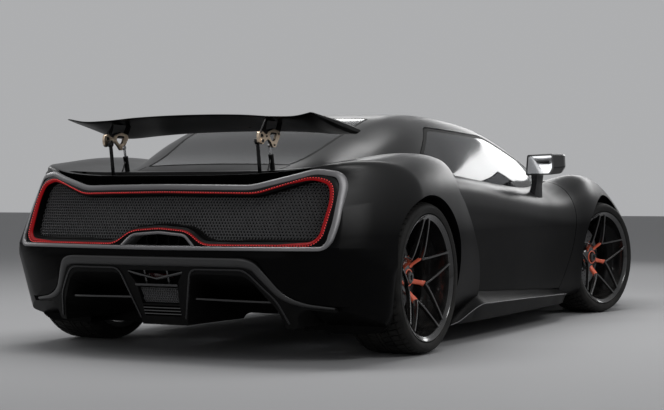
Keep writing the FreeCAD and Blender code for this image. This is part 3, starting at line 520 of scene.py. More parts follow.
skin_depth, glass_depth, cover_depth = 34.0, 7.0, 4.0
haunch = rounded_end_form("haunch_form", haunch_table, [tail_face, undertail_face], 520.0, tail_turn)
core = rounded_end_form("core_form", core_table, [nose_face], 300.0, nose_turn)
core_lining = tool(ring_solid("core_lining", form_rings(core_table, inset_pairs, 60.0, skin_depth)))
house, house_lining, house_glass_back = (
    tool(ring_solid(name, form_rings(greenhouse_table, greenhouse_halves, form_step, inset)))
    for name, inset in (("house", 0.0), ("house_lining", skin_depth), ("glass_back", glass_depth)))
print("forms:", [len(form.data.polygons) for form in (haunch, core, house)], "faces")

# %% [markdown]
# ## Shut lines
# The gaps between panels are drawn once, flat, on the car's side or plan, just as the CAD model has them. The most
# striking one is the blade: the front edge of the rear wing, which sweeps down and forward behind the door.

# %% Outlines seen from the side, as (x, z)
# Prisms reach to `beyond` at the sides and to `over` at the top, well clear of the car. Those for the glass start
# inside the cabin, and those for the nose above its floor.
beyond = 1200.0
over = roof_top + 100
glass_low, glass_inner, nose_low = 600, 450, 300
belt = 800.0
door_front = front_axle - 490
blade_foot = rear_axle + 800
blade_head = rear_axle + 390
blade = from_axle(rear_axle, [(800, 0), (770, 250), (680, 430), (560, 580), (450, 700), (390, 745), (390, over)])
blade = blade[:1] + filleted(blade, 70, 6, closed=False)[1:-1] + blade[-1:]
ahead_of_blade = blade + [(nose_end, over), (nose_end, 0)]
door_foot_front = (door_front - 190, 185)
door_foot_rear = (rear_axle + 784, 205)
door_nose = filleted([door_foot_front, (door_front - 80, 320), (door_front - 20, 430), (door_front, 610),
                      (door_front, belt + 100)], 60, 5, closed=False)
door_tail = [(x + panel_gap, z) for x, z in [(blade_head, belt + 100)] + blade[-2:0:-1]]
door_area = [door_foot_rear] + door_nose + door_tail
sill_area = [(blade_foot + panel_gap, 0), (door_foot_rear[0], door_foot_rear[1] - panel_gap),
             (door_foot_front[0], door_foot_front[1] - panel_gap), (door_foot_front[0], 0)]
ahead_of_door = [(x + panel_gap, z) for x, z in [(door_foot_front[0], 0)] + door_nose[:-1] + [(door_front, over)]]
ahead_of_door += [(nose_end + 50, over), (nose_end + 50, 0)]
window_area = filleted([(blade_head + 18, belt - 60), (blade_head + 18, belt + 45), (rear_axle + 800, 1076)]
                       + from_axle(front_axle, [(-1210, 1056), (-950, 985), (-640, 890), (-520, 840),
                                                (-520, belt - 60)]), 45)

# %% Outlines seen from above, as (x, y)
windscreen_area = plan(from_axle(front_axle, [(95, 460), (-250, 528), (-700, 545), (-1150, 520)]))
rear_glass_area = filleted(plan(from_axle(rear_axle, [(480, 455), (200, 455), (-240, 396)])), 30)
deck_area = plan(from_axle(rear_axle, [(-246, 396), (-440, 370)]))
lid_area = filleted(plan(from_axle(front_axle, [(115, 405), (300, 405), (640, 330)])), 40)
lamp_corners = from_axle(front_axle, [(420, 650), (480, 805), (640, 800), (800, 650), (760, 570), (600, 570)])
lamp_area = filleted(lamp_corners, 40)
lamp_twin = [(x, -y) for x, y in reversed(lamp_area)]


def both_sides(outline, plane, low, high):
    """The same prism on each side of the car."""
    return [prism(outline, plane, low, high), prism(outline, plane, -high, -low)]


def lamp_blocks(gap):
    """Upright prisms over both headlamps, with their outline moved out by gap."""
    return [prism(grown(outline, gap), "xy", nose_low, over) for outline in (lamp_area, lamp_twin)]


# %% Spaces for wheels, cabin and luggage
# A steered wheel needs more room inboard than its arch shows. The wider well stays under the skin, or low down.
steered_room, front_arch, rear_arch = 420, 386, 380
low_half = prism(rectangle(450, 200, (front_axle, 100)), "xz", -beyond, beyond)
front_wells = [tool(combined("well", round_hole(front_axle, front_tyre_radius, steered_room, *ys), meet=[within]))
               for ys in ((545, 860), (-860, -545)) for within in (core_lining, low_half)]
front_arches = [round_hole(front_axle, front_tyre_radius, front_arch, *ys)
                for ys in ((600, beyond), (-beyond, -600))]
rear_wells = [round_hole(rear_axle, rear_tyre_radius, rear_arch, *ys) for ys in ((660, beyond), (-beyond, -660))]
arm_pockets = [block(axle - 180, axle + 180, *ys, 140, 540) for axle, ys in (
    (front_axle, (400, 555)), (front_axle, (-555, -400)), (rear_axle, (440, 670)), (rear_axle, (-670, -440)))]
door_inner = 735
cabin_space = [block(rear_axle + 770, door_front + 10, -door_inner, door_inner, 100, 780),
               block(door_front, front_axle - 350, -515, 515, 100, 740)]
engine_bay = [block(rear_axle - 440, rear_axle + 770, -450, 450, 100, 780),
              prism(rear_glass_area, "xy", 770, over)]
trunk_space = prism(plan(from_axle(front_axle, [(130, 380), (300, 380), (560, 320)])), "xy", 215, over)

# %% [markdown]
# ## Cutting the panels
# Each panel is a form met with its outline and cut by its neighbours' spaces. The Boolean modifier's Manifold
# solver is used because every solid here is closed, and it is many times faster than the exact one. Each result
# is baked at once, so that no modifier is left on a finished piece.

# %% Nose, bonnet lid and lamps' covers
nose_skin = tool(combined("nose_skin", core, meet=[prism(ahead_of_door, "xz", -beyond, beyond)], cut=[core_lining]))
lid_slot = tool(combined("lid_slot", prism(grown(lid_area, panel_gap), "xy", nose_low, over), cut=[core_lining]))
lamp_slots = [tool(combined("lamp_slot", lamp, cut=[core_lining])) for lamp in lamp_blocks(1.0)]
intake_outlines = [across([(0, 170), (330, 170), (430, 300), (300, 345), (0, 345)]),
                   [(520, 160), (700, 165), (760, 330), (560, 345)],
                   [(-560, 345), (-760, 330), (-700, 165), (-520, 160)]]
intakes = [prism(filleted(outline, 30), "yz", nose_end - 330, nose_end + 50) for outline in intake_outlines]
tow_place = (-478, 372)
tow_hole = prism(circle(*tow_place, 24, 48), "yz", nose_end - 150, nose_end + 50)
front_clam = combined("front_body", core, meet=[prism(ahead_of_door, "xz", -beyond, beyond)],
                      cut=front_wells + front_arches + arm_pockets[:2] + intakes + cabin_space
                      + [lid_slot, trunk_space, tow_hole] + lamp_slots)
front_lid = combined("bonnet_lid", nose_skin, meet=[prism(lid_area, "xy", nose_low, over)])
core_cover_back = tool(ring_solid("cover_back", form_rings(core_table, inset_pairs, form_step, cover_depth)))
lamp_covers = joined("lamp_covers", [combined("cover", nose_skin, meet=[lamp], cut=[core_cover_back])
                                     for lamp in lamp_blocks(-0.5)])

# %% Doors, side windows and sills
glass_skin = tool(combined("glass_skin", house, cut=[house_glass_back]))
door_rebate = prism([(x - 60, z) for x, z in blade] + [(x + panel_gap + 14, z) for x, z in reversed(blade)],
                    "xz", door_inner - 10, 872)
door_left = combined("door_panel_left", core, meet=[prism(door_area, "xz", door_inner, beyond)], cut=[door_rebate])
pane_area = grown(window_area, -16.0)
window_left = combined("side_window_left", glass_skin, meet=[prism(pane_area, "xz", glass_inner, beyond)],
                       cut=[core, haunch])
seal_left = combined("window_seal_left", glass_skin, meet=[prism(window_area, "xz", glass_inner, beyond)],
                     cut=[core, haunch, prism(pane_area, "xz", glass_inner - 10, beyond + 10)])
sills = [combined("sill", core, meet=[cutter]) for cutter in both_sides(sill_area, "xz", door_inner, beyond)]

# %% Glass, roof and the rear body
screen_pane, rear_pane = grown(windscreen_area, -22.0), grown(rear_glass_area, -16.0)
windscreen = combined("front_screen", glass_skin, meet=[prism(screen_pane, "xy", glass_low, over)], cut=[core])
rear_glass = combined("rear_screen", glass_skin, meet=[prism(rear_pane, "xy", glass_low, over)], cut=[haunch])
screen_frames = joined("screen_frames", [
    combined("frame", glass_skin, meet=[prism(area, "xy", glass_low, over)],
             cut=[form, prism(pane, "xy", glass_low - 10, over + 10)])
    for area, pane, form in ((windscreen_area, screen_pane, core), (rear_glass_area, rear_pane, haunch))])
house_skin = tool(combined("house_skin", house, cut=[house_lining]))
engine_cover = combined("deck_cover", house_skin, meet=[prism(deck_area, "xy", glass_low, over)], cut=[haunch])
roof_openings = [prism(grown(area, gap), "xy", glass_low, over) for area, gap in (
    (windscreen_area, 0.5), (rear_glass_area, 0.5), (deck_area, panel_gap))]
roof = combined("roof_shell", house_skin, cut=[core, haunch] + roof_openings
                + both_sides(grown(window_area, panel_gap), "xz", glass_inner, beyond))

# %% Tail outlines, seen from behind as (y, z)
surround_outer = [(0, 781), (440, 776), (627, 824), (706, 848), (806, 832), (833, 780), (838, 600), (828, 525),
                  (800, 492), (0, 487)]
light_outer = [(0, 742), (462, 736), (694, 808), (776, 788), (794, 712), (782, 552), (748, 518), (236, 516),
               (152, 575), (0, 587)]
outlet_outer = [(0, 570), (141, 559), (208, 497), (0, 495)]
hoop_outer = [(0, 461), (462, 459), (512, 440), (606, 300), (680, 264), (800, 246), (805, 222), (672, 236),
              (640, 200), (640, 150), (0, 150)]
tunnel_mouth = [(190, 406), (462, 407), (572, 276), (608, 170), (608, 40), (110, 40), (120, 180)]
tunnel_throat = [(150, 170), (440, 170), (520, 165), (560, 150), (560, 40), (110, 40), (120, 120)]


def tail_loop(half, radius):
    """A closed outline across the tail from its left half, with its corners rounded."""
    return filleted(across(half), radius, 6)


recess_loop = tail_loop(light_outer, 38)
surround_loop = tail_loop(surround_outer, 34)
behind = (tail_end - 50, tail_end + 700)
recess_depth, surround_depth = 80.0, 90.0
under_opening = [(0, 463), (464, 461), (516, 441), (609, 302), (681, 267), (800, 250), (beyond, 236), (beyond, -50),
                 (0, -50)]
under_side = [(tail_end - 50, -50), (tail_end - 50, 246), (tail_end + 60, 246), (tail_end + 260, 225),
              (rear_axle - 345, 150), (rear_axle - 345, -50)]
undertail_space = [block(tail_end + 200, rear_axle - 200, -655, 655, 0, 475),
                   prism(across(under_opening), "yz", tail_end - 50, tail_end + 260),
                   prism(under_side, "xz", -beyond, beyond)]
channel_plan = filleted(plan(from_axle(rear_axle, [
    (-470, 380), (-520, 600), (-600, 655), (-780, 640), (-950, 400)])), 45)
channel_floor, channel_inset = 752.0, 24.0
wing_channel = tool(combined("channel", prism(channel_plan, "xy", channel_floor, over),
                             meet=[end_mass(tail_face, channel_inset)]))
above_surround = across([(0, 779), (440, 774), (627, 822), (690, 844), (690, 900), (0, 900)])
side_duct = from_axle(rear_axle, [(810, 300), (760, 560), (480, 690), (440, 640), (440, 330)])
tail_core = end_mass(tail_face, surround_depth)
surround_slot = tool(combined("surround_slot", prism(surround_loop, "yz", *behind), cut=[tail_core]))
rear_clam = combined("rear_body", haunch, cut=[prism(ahead_of_blade, "xz", -beyond, beyond)] + rear_wells
                     + arm_pockets[2:] + engine_bay + undertail_space + [wing_channel]
                     + both_sides(side_duct, "xz", 800, 925) + cabin_space[:1] + [surround_slot])
for piece in (front_clam, front_lid, lamp_covers, door_left, window_left, seal_left, screen_frames, windscreen,
              rear_glass, engine_cover, roof, rear_clam, *sills):
    smooth(piece)
door_right, window_right, seal_right = (mirrored(piece, piece.name.replace("left", "right"))
                                        for piece in (door_left, window_left, seal_left))
print("rear body:", len(rear_clam.data.polygons), "faces, nose:", len(front_clam.data.polygons))
# %% [markdown]
# ## Finishes
# A finish is more than a colour: satin paint has a fine orange peel, a road car carries dust low down, carbon shows
# its weave and rubber is scuffed. Effects that several finishes share are made once, as shader node groups, and
# each finish sets its own values on them. The Principled BSDF stays in each material, with its constant values on
# its own sockets, so that the finish survives an export. All patterns read Object coordinates, in metres.

# %% A small kit for building node trees


class Board:
    """A node tree with a few short ways to add and join nodes. On a group, `given` holds the sockets that come in
    and `result` those that go out."""

    def __init__(self, tree):
        self.tree = tree

    def node(self, kind, **inputs):
        made = self.tree.nodes.new(kind)
        for name, value in inputs.items():
            self.feed(made.inputs[name.replace("_", " ")], value)
        return made

    def feed(self, socket, value):
        """Sets a socket, or links it to another one. A node stands for its first output."""
        if isinstance(value, bpy.types.Node):
            value = value.outputs[0]
        if isinstance(value, bpy.types.NodeSocket):
            self.tree.links.new(value, socket)
        else:
            socket.default_value = value

    def math(self, operation, *values, clamp=False):
        made = self.tree.nodes.new("ShaderNodeMath")
        made.operation, made.use_clamp = operation, clamp
        for socket, value in zip(made.inputs, values):
            self.feed(socket, value)
        return made.outputs[0]

    def blend(self, factor, a, b, mode="MIX"):
        made = self.tree.nodes.new("ShaderNodeMix")
        made.data_type, made.blend_type = "RGBA", mode
        for socket, value in ((made.inputs["Factor"], factor), (made.inputs[6], a), (made.inputs[7], b)):
            self.feed(socket, value)
        return made.outputs[2]

    def noise(self, where, scale, detail=3.0):
        return self.node("ShaderNodeTexNoise", Vector=where, Scale=scale, Detail=detail).outputs["Fac"]

    def stretch(self, value, low, high, to_low=0.0, to_high=1.0):
        return self.node("ShaderNodeMapRange", Value=value, From_Min=low, From_Max=high, To_Min=to_low,
                         To_Max=to_high).outputs["Result"]

    def place(self):
        """Where a point lies, in the car's own frame."""
        return self.node("ShaderNodeTexCoord").outputs["Object"]


def new_group(kind, name, inputs, outputs):
    """A board on an empty group. A socket is given by its first value, or by its kind where it has none."""
    tree = bpy.data.node_groups.new(name, kind + "NodeTree")
    for in_out, sockets in (("INPUT", inputs), ("OUTPUT", outputs)):
        for label, value in sockets.items():
            named = isinstance(value, str)
            socket_kind = value if named else {tuple: "Color", float: "Float", int: "Int"}[type(value)]
            socket = tree.interface.new_socket(label, in_out=in_out, socket_type="NodeSocket" + socket_kind)
            if not named:
                socket.default_value = value
    board = Board(tree)
    board.given = tree.nodes.new("NodeGroupInput").outputs
    board.result = tree.nodes.new("NodeGroupOutput").inputs
    return board


# %% Shared effect: a worn, dusty skin
# Fine grain makes the bump and a slight cloudiness, and dust gathers towards the ground in patches.
skin = new_group("Shader", "worn_skin", {
    "Colour": (0.1, 0.1, 0.1, 1.0), "Roughness": 0.5, "Grain": 400.0, "Cloud": 0.1,
    "Dust colour": (0.2, 0.19, 0.17, 1.0), "Dust": 0.2, "Dust height": 0.45},
    {"Colour": "Color", "Roughness": "Float", "Height": "Float"})
where = skin.place()
cloud = skin.noise(where, 5.0, 5.0)
shade = skin.math("MULTIPLY", skin.stretch(cloud, 0.3, 0.7), skin.given["Cloud"])
lit = skin.blend(shade, skin.given["Colour"], (0.5, 0.5, 0.5, 1), "SOFT_LIGHT")
height = skin.node("ShaderNodeSeparateXYZ", Vector=where).outputs["Z"]
low_down = skin.math("SUBTRACT", 1.0, skin.math("DIVIDE", height, skin.given["Dust height"]), clamp=True)
patches = skin.stretch(skin.noise(where, 14.0, 6.0), 0.35, 0.7)
dust = skin.math("MULTIPLY", skin.math("MULTIPLY", low_down, patches), skin.given["Dust"])
skin.feed(skin.result["Colour"], skin.blend(dust, lit, skin.given["Dust colour"]))
rougher = skin.math("ADD", skin.given["Roughness"], skin.math("MULTIPLY", dust, 0.5))
uneven = skin.math("MULTIPLY", skin.math("SUBTRACT", cloud, 0.5), 0.12)
skin.feed(skin.result["Roughness"], skin.math("ADD", rougher, uneven, clamp=True))
skin.feed(skin.result["Height"], skin.noise(where, skin.given["Grain"], 2.0))

# %% Shared effect: twill-woven carbon
# Two sets of tows cross over and under in steps of two, each row shifted by one.
weave = new_group("Shader", "carbon_twill", {
    "Tow width": 0.003, "Dark": (0.004, 0.004, 0.005, 1.0), "Light": (0.03, 0.03, 0.033, 1.0)},
    {"Colour": "Color", "Height": "Float"})
x, y, z = weave.node("ShaderNodeSeparateXYZ", Vector=weave.place()).outputs
across_tow = weave.math("DIVIDE", weave.math("ADD", y, x), weave.given["Tow width"])
slant = weave.math("SUBTRACT", weave.math("MULTIPLY", z, 1.41), weave.math("SUBTRACT", y, x))
along_tow = weave.math("DIVIDE", slant, weave.given["Tow width"])
steps = weave.math("ADD", weave.math("FLOOR", across_tow), weave.math("FLOOR", along_tow))
over_under = weave.math("LESS_THAN", weave.math("FLOORED_MODULO", steps, 4.0), 2.0)
round_across, round_along = (weave.math("SINE", weave.math("MULTIPLY", weave.math("FRACT", tow), math.pi))
                             for tow in (across_tow, along_tow))
crown = weave.math("ADD", weave.math("MULTIPLY", round_across, over_under),
                   weave.math("MULTIPLY", round_along, weave.math("SUBTRACT", 1.0, over_under)))
sheen = weave.math("MULTIPLY", crown, weave.stretch(over_under, 0, 1, 0.35, 1.0))
weave.feed(weave.result["Colour"], weave.blend(sheen, weave.given["Dark"], weave.given["Light"]))
weave.feed(weave.result["Height"], crown)

# %% Shared effect: machined or brushed metal
# The noise is squeezed along one axis, so that it draws out into fine lines.
lines = new_group("Shader", "tool_lines", {"Roughness": 0.25, "Fineness": 900.0, "Depth": 0.15},
                  {"Roughness": "Float", "Height": "Float"})
squeezed = lines.node("ShaderNodeVectorMath", Vector=lines.place())
squeezed.operation = "MULTIPLY"
squeezed.inputs[1].default_value = (0.05, 1.0, 1.0)
streaks = lines.noise(squeezed, lines.given["Fineness"], 2.0)
swing = lines.math("MULTIPLY", lines.math("SUBTRACT", streaks, 0.5), lines.given["Depth"])
lines.feed(lines.result["Roughness"], lines.math("ADD", lines.given["Roughness"], swing))
lines.feed(lines.result["Height"], streaks)


# %% One function makes a finish


def place_group(board, name, **values):
    """Places a shared group in a material. Underscores stand for spaces in its input names."""
    made = board.tree.nodes.new("ShaderNodeGroup")
    made.node_tree = bpy.data.node_groups[name]
    for label, value in values.items():
        board.feed(made.inputs[label.replace("_", " ")], value)
    return made.outputs


finishes = {}


def finish(name, colour, roughness, bump=0.1, bump_depth=0.0002, grain=400.0, cloud=0.15, dust=0.25,
           effect="worn_skin", dust_height=0.45, painted_low_shade=None, **shader_values):
    """A material with the shared skin on a Principled BSDF. shader_values are set on the shader itself. The height fade
    gives (low z, high z, specular level at low z, at high z): the sheen falls away low down, which paints shade there."""
    material = bpy.data.materials.new(name)
    material.use_nodes = True
    board = Board(material.node_tree)
    shader = material.node_tree.nodes["Principled BSDF"]
    worn = place_group(board, "worn_skin", Colour=(*colour, 1), Roughness=roughness, Grain=grain, Cloud=cloud,
                       Dust=dust, Dust_height=dust_height)
    height, rough, shown = worn["Height"], worn["Roughness"], worn["Colour"]
    if effect == "carbon_twill":
        twill = place_group(board, effect, Light=(*colour, 1))
        height, shown = twill["Height"], board.blend(0.25, twill["Colour"], worn["Colour"])
    if effect == "tool_lines":
        brushed = place_group(board, effect, Roughness=roughness, Fineness=grain)
        height, rough = brushed["Height"], brushed["Roughness"]
    relief = board.node("ShaderNodeBump", Strength=bump, Distance=bump_depth, Height=height)
    for label, value in (("Base Color", shown), ("Roughness", rough), ("Normal", relief), *shader_values.items()):
        board.feed(shader.inputs[label.replace("_", " ")], value)
    # Painted shade: the specular level fades with height, so that the lower panels turn darker.
    if painted_low_shade:
        heights = board.node("ShaderNodeSeparateXYZ", Vector=board.place()).outputs["Z"]
        board.feed(shader.inputs["Specular IOR Level"], board.stretch(heights, *painted_low_shade))
    finishes[name] = material


# %% Paint, plastics and carbon
# The satin paint loses its sheen low down: painted shade on the lower body and the doors.
finish("satin_paint", (0.0036, 0.0036, 0.0038), 0.32, bump=0.05, grain=900.0, cloud=0.08, dust=0.02,
       painted_low_shade=(0.55, 0.90, 0.03, 0.34))
# A brighter copy of the satin paint for the band over the diffuser: painted sheen on its top.
finish("band_satin", (0.020, 0.020, 0.0205), 0.30, bump=0.05, grain=900.0, dust=0.02, Specular_IOR_Level=0.7)
finish("wing_black", (0.0026, 0.0026, 0.0027), 0.30, bump=0.03, grain=700.0, dust=0.0, Specular_IOR_Level=0.10)
finish("strut_black", (0.004, 0.004, 0.0042), 0.2, bump=0.02, dust=0.0, Specular_IOR_Level=0.35)
finish("edge_black", (0.03, 0.03, 0.031), 0.22, bump=0.03, dust=0.0, Specular_IOR_Level=0.6, Metallic=0.5)
finish("gloss_black", (0.006, 0.006, 0.007), 0.12, bump=0.03, grain=60.0, cloud=0.1, dust=0.06, Coat_Weight=1.0,
       Coat_Roughness=0.04)
finish("moulded_black", (0.0035, 0.0035, 0.0035), 0.55, bump=0.3, grain=1400.0, dust=0.03, Specular_IOR_Level=0.12)
# The tail's mesh is mid grey: its own dark plastic with painted sheen on the cell walls. The nose's mesh stays dark.
finish("mesh_black", (0.13, 0.13, 0.132), 0.36, bump=0.05, dust=0.02)
finish("mesh_dark", (0.035, 0.035, 0.036), 0.36, bump=0.05, dust=0.02)
# Flat black without any sheen: painted shade for recesses, holes, throats and the backs of openings.
finish("void_black", (0.0012, 0.0012, 0.0012), 0.9, dust=0.0, Specular_IOR_Level=0.0)
finish("lip_grey", (0.19, 0.187, 0.192), 0.34, bump=0.06, grain=700.0, dust=0.05, Metallic=0.35)
finish("visible_carbon", (0.010, 0.010, 0.011), 0.24, bump=0.10, bump_depth=0.0004, dust=0.03, effect="carbon_twill",
       Specular_IOR_Level=0.3, Coat_Weight=0.3, Coat_Roughness=0.12)
finish("coral_paint", (0.98, 0.19, 0.10), 0.30, bump=0.05, dust=0.03, Coat_Weight=0.4)

# %% Metals
finish("champagne_gold", (0.82, 0.66, 0.50), 0.30, bump=0.1, grain=700.0, effect="tool_lines", Metallic=1.0)
finish("wheel_black", (0.006, 0.006, 0.0065), 0.20, bump=0.04, grain=120.0, dust=0.15, dust_height=0.7,
       Coat_Weight=0.7, Coat_Roughness=0.06)
finish("ceramic_disc", (0.20, 0.20, 0.205), 0.38, bump=0.2, grain=900.0, effect="tool_lines", Metallic=0.6)
finish("bright_steel", (0.62, 0.62, 0.63), 0.16, bump=0.05, grain=1200.0, effect="tool_lines", Metallic=1.0)
finish("cast_grey", (0.22, 0.22, 0.225), 0.48, bump=0.4, bump_depth=0.0005, grain=500.0, dust=0.3, Metallic=0.8)
finish("dark_steel", (0.02, 0.02, 0.021), 0.36, bump=0.12, grain=600.0, dust=0.2, Metallic=0.5)

# %% Rubber, leather and cloth-like trim
finish("tyre_rubber", (0.0065, 0.0063, 0.0061), 0.66, bump=0.45, bump_depth=0.0006, grain=500.0, cloud=0.3, dust=0.10,
       dust_height=0.8, Specular_IOR_Level=0.22)
finish("cabin_leather", (0.022, 0.020, 0.020), 0.46, bump=0.5, bump_depth=0.0008, grain=260.0, dust=0.0)
finish("cabin_suede", (0.014, 0.013, 0.014), 0.85, bump=0.5, bump_depth=0.0006, grain=900.0, dust=0.0,
       Sheen_Weight=0.35)
finish("red_thread", (0.42, 0.03, 0.025), 0.55, bump=0.3, grain=900.0, dust=0.0)


# %% Glass and light
def glass(name, colour, roughness=0.02):
    """Clear material: the tint is in the colour, and the gloss comes from the shader."""
    finish(name, colour, roughness, bump=0.0, cloud=0.0, dust=0.0, Transmission_Weight=1.0, IOR=1.5)


glass("dark_glass", (0.10, 0.105, 0.115), 0.07)
glass("rear_dark_glass", (0.16, 0.165, 0.175), 0.11)
glass("lamp_glass", (0.80, 0.83, 0.87))
glass("lamp_lens", (0.9, 0.93, 0.97), 0.03)
finish("screen_glass", (0.004, 0.005, 0.006), 0.08, bump=0.0, dust=0.0, Coat_Weight=0.6)
finish("mirror_glass", (0.85, 0.86, 0.88), 0.03, bump=0.0, cloud=0.0, dust=0.0, Metallic=1.0)


def glowing(name, colour, strength, base):
    """A lamp's lens: it glows evenly, and its own colour shows where the glow is weak."""
    finish(name, base, 0.5, bump=0.0, dust=0.0, Specular_IOR_Level=0.1, Emission_Color=(*colour, 1),
           Emission_Strength=strength)


glowing("red_glow", (0.80, 0.012, 0.018), 0.17, (0.10, 0.003, 0.004))
glowing("red_point", (1.0, 0.10, 0.10), 0.55, (0.35, 0.02, 0.02))
finish("red_lens", (0.03, 0.001, 0.0015), 0.12, bump=0.0, dust=0.0, Coat_Weight=0.8)
glowing("white_glow", (0.95, 0.97, 1.0), 0.55, (0.8, 0.8, 0.82))
print("finishes:", len(finishes))


def dress(piece, material, body, slot, *replaced):
    """Gives a piece its finish and its body, and hides the CAD nodes that it stands for. The slot is not used."""
    piece.data.materials.clear()
    piece.data.materials.append(finishes[material])
    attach(piece, body)
    if replaced:
        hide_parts(*replaced)


def dress_sides(pieces, body, angle):
    """Finishes a left and a right piece from each (make, finish, slot, replaced node or None). make() draws the left
    one. body and replaced end with the side's name where they end with an underscore."""
    for side in ("left", "right"):
        for make, material, slot, replaced in pieces:
            piece = make()
            label = piece.name.split(".")[0] + "_" + side
            if side == "right":
                twin = mirrored(piece, label)
                bpy.data.objects.remove(piece)
                piece = twin
            piece.name = label
            names = [name + side if name.endswith("_") else name for name in (body, replaced) if name]
            dress(smooth(piece, angle), material, names[0], slot, *names[1:])


# %% Dress the body panels
dress(front_clam, "satin_paint", "chassis", "body_paint", "front_clam")
dress(front_lid, "satin_paint", "front_lid", "body_paint", "front_lid")
dress(lamp_covers, "lamp_glass", "chassis", "lamp_glass", "headlamps")
for side, door, window, seal in (("left", door_left, window_left, seal_left),
                                 ("right", door_right, window_right, seal_right)):
    dress(door, "satin_paint", "door_" + side, "body_paint", "door_" + side)
    dress(window, "dark_glass", "door_" + side, "tinted_glass", "door_glass_" + side)
    dress(seal, "moulded_black", "door_" + side, "dark_plastic")
dress(screen_frames, "moulded_black", "chassis", "dark_plastic")
dress(windscreen, "dark_glass", "chassis", "tinted_glass", "windscreen")
dress(rear_glass, "rear_dark_glass", "chassis", "tinted_glass", "rear_glass")
dress(engine_cover, "satin_paint", "chassis", "gloss_black", "engine_cover")
dress(roof, "satin_paint", "chassis", "body_paint", "roof")
dress(rear_clam, "satin_paint", "chassis", "body_paint", "rear_clam")


def inside(outline, x, y):
    """Whether a flat point lies in an outline."""
    hit = False
    for (x0, y0), (x1, y1) in zip(outline, outline[1:] + outline[:1]):
        if (y0 > y) != (y1 > y) and x < x0 + (y - y0) / (y1 - y0) * (x1 - x0):
            hit = not hit
    return hit


# %% Painted shade: the wing's trough behind the lip gets a flat black without sheen
rear_clam.data.materials.append(finishes["void_black"])
trough_count = 0
for face in rear_clam.data.polygons:
    x, y, z = face.center / mm
    behind_lip = x < face_x(tail_face, y, z) + 60 and face.normal.x < -0.4 and inside(above_surround, y, z)
    in_channel = z > channel_floor - 1.5 and x > face_x(tail_face, y, z) + channel_inset - 2
    if behind_lip or (in_channel and inside(channel_plan, x, y)):
        face.material_index = 1
        trough_count += 1
print("trough:", trough_count, "faces")
# %% [markdown]
# ## The tail panel
# The tail is a wide recess: a satin lip runs round it, a thin red light follows the lip's inner edge, and a dark
# honeycomb fills the middle. Mouldings that run round a loop are lofted: a small profile is carried along the
# loop, and each of its points is dropped onto the leaning tail face. A bevelled curve could do the same, but its
# profile would twist on the leaning face.

# %% Mouldings that follow a loop


def even_loop(loop, spacing=8.0, closed=True):
    """Points at even steps along an outline."""
    points = np.array(loop + loop[:1] if closed else loop, float)
    run = np.concatenate([[0], np.cumsum(np.linalg.norm(np.diff(points, axis=0), axis=1))])
    count = max(int(run[-1] / spacing), 8)
    at = np.linspace(0, run[-1], count, endpoint=not closed)
    return np.column_stack([np.interp(at, run, points[:, axis]) for axis in range(points.shape[1])])


def outward_normals(points, closed=True):
    """Unit vectors square to the line, to its right. On a loop they point out of it."""
    along, area = np.gradient(points, axis=0), 1.0
    if closed:
        after = np.roll(points, -1, 0)
        along = after - np.roll(points, 1, 0)
        area = np.sum(points[:, 0] * after[:, 1] - after[:, 0] * points[:, 1])
    normals = np.column_stack([along[:, 1], -along[:, 0]]) * (1 if area > 0 else -1)
    return normals / np.linalg.norm(normals, axis=1)[:, None]


def moulding(name, loop, profile, x_at, closed=True, spacing=8.0, width=None):
    """A moulding along a line on an end face. profile: (out from the line, depth into the car) pairs.
    width(y, z) scales its breadth along the way."""
    line = even_loop(loop, spacing, closed)
    normals = outward_normals(line, closed)
    if width is not None:
        normals = normals * width(line[:, 0], line[:, 1])[:, None]
    rings = []
    for out, depth in profile:
        moved = line + normals * out
        rings.append(np.column_stack([x_at(moved[:, 0], moved[:, 1], depth), moved]))
    rings = np.array(rings)
    return ring_solid(name, rings, closed=True) if closed else ring_solid(name, rings.transpose(1, 0, 2))


def on_tail(y, z, depth):
    return face_x(tail_face, y, z, depth)


def on_undertail(y, z, depth):
    return face_x(undertail_face, y, z, depth)


# %% The surround and its satin lip
outlet_loop = filleted(across(outlet_outer), 22, 6)
surround = smooth(combined("tail_surround_moulding", haunch, meet=[prism(surround_loop, "yz", *behind)],
                           cut=[prism(recess_loop, "yz", *behind), prism(outlet_loop, "yz", *behind), tail_core]))
dress(surround, "satin_paint", "chassis", "grey_trim", "tail_surround")
lip_profile = [(0, 9), (0, 1), (-2, -3), (-8, -5), (-18, -5), (-24, -2), (-26, 4), (-26, 12), (-14, 14)]
lip = smooth(moulding("tail_lip", surround_loop, lip_profile, on_tail,
                      width=lambda y, z: np.interp(z, (495, 560), (0.72, 1.0))), 50)
dress(lip, "lip_grey", "chassis", "grey_trim")

# %% The red light and its carrier
light_line = grown(recess_loop, 3.0)
carrier = smooth(moulding("light_carrier", light_line, [(6, 30), (6, 2), (1, 0), (-14, 14), (-14, 40), (-6, 44)],
                          on_tail), 40)
dress(carrier, "moulded_black", "chassis", "dark_plastic")
glow_profile = [(-1, 8), (-2, 1.5), (-5, -1), (-9, 2), (-12, 7), (-12, 14)]
glow = smooth(moulding("tail_light_line", light_line, glow_profile, on_tail, spacing=6.0,
                       width=lambda y, z: np.interp(abs(y), (600, 740), (0.38, 1.2))), 50)
dress(glow, "red_glow", "chassis", "red_light", "tail_light")

# %% [markdown]
# ## Points of light along the line
# The red line is broken by a row of small bright points. They repeat at an even pitch along a loop, so Geometry
# Nodes set them: the loop is resampled by length, a small lens is placed on each point and turned with the loop.

# %% A node tree that sets one shape along a line


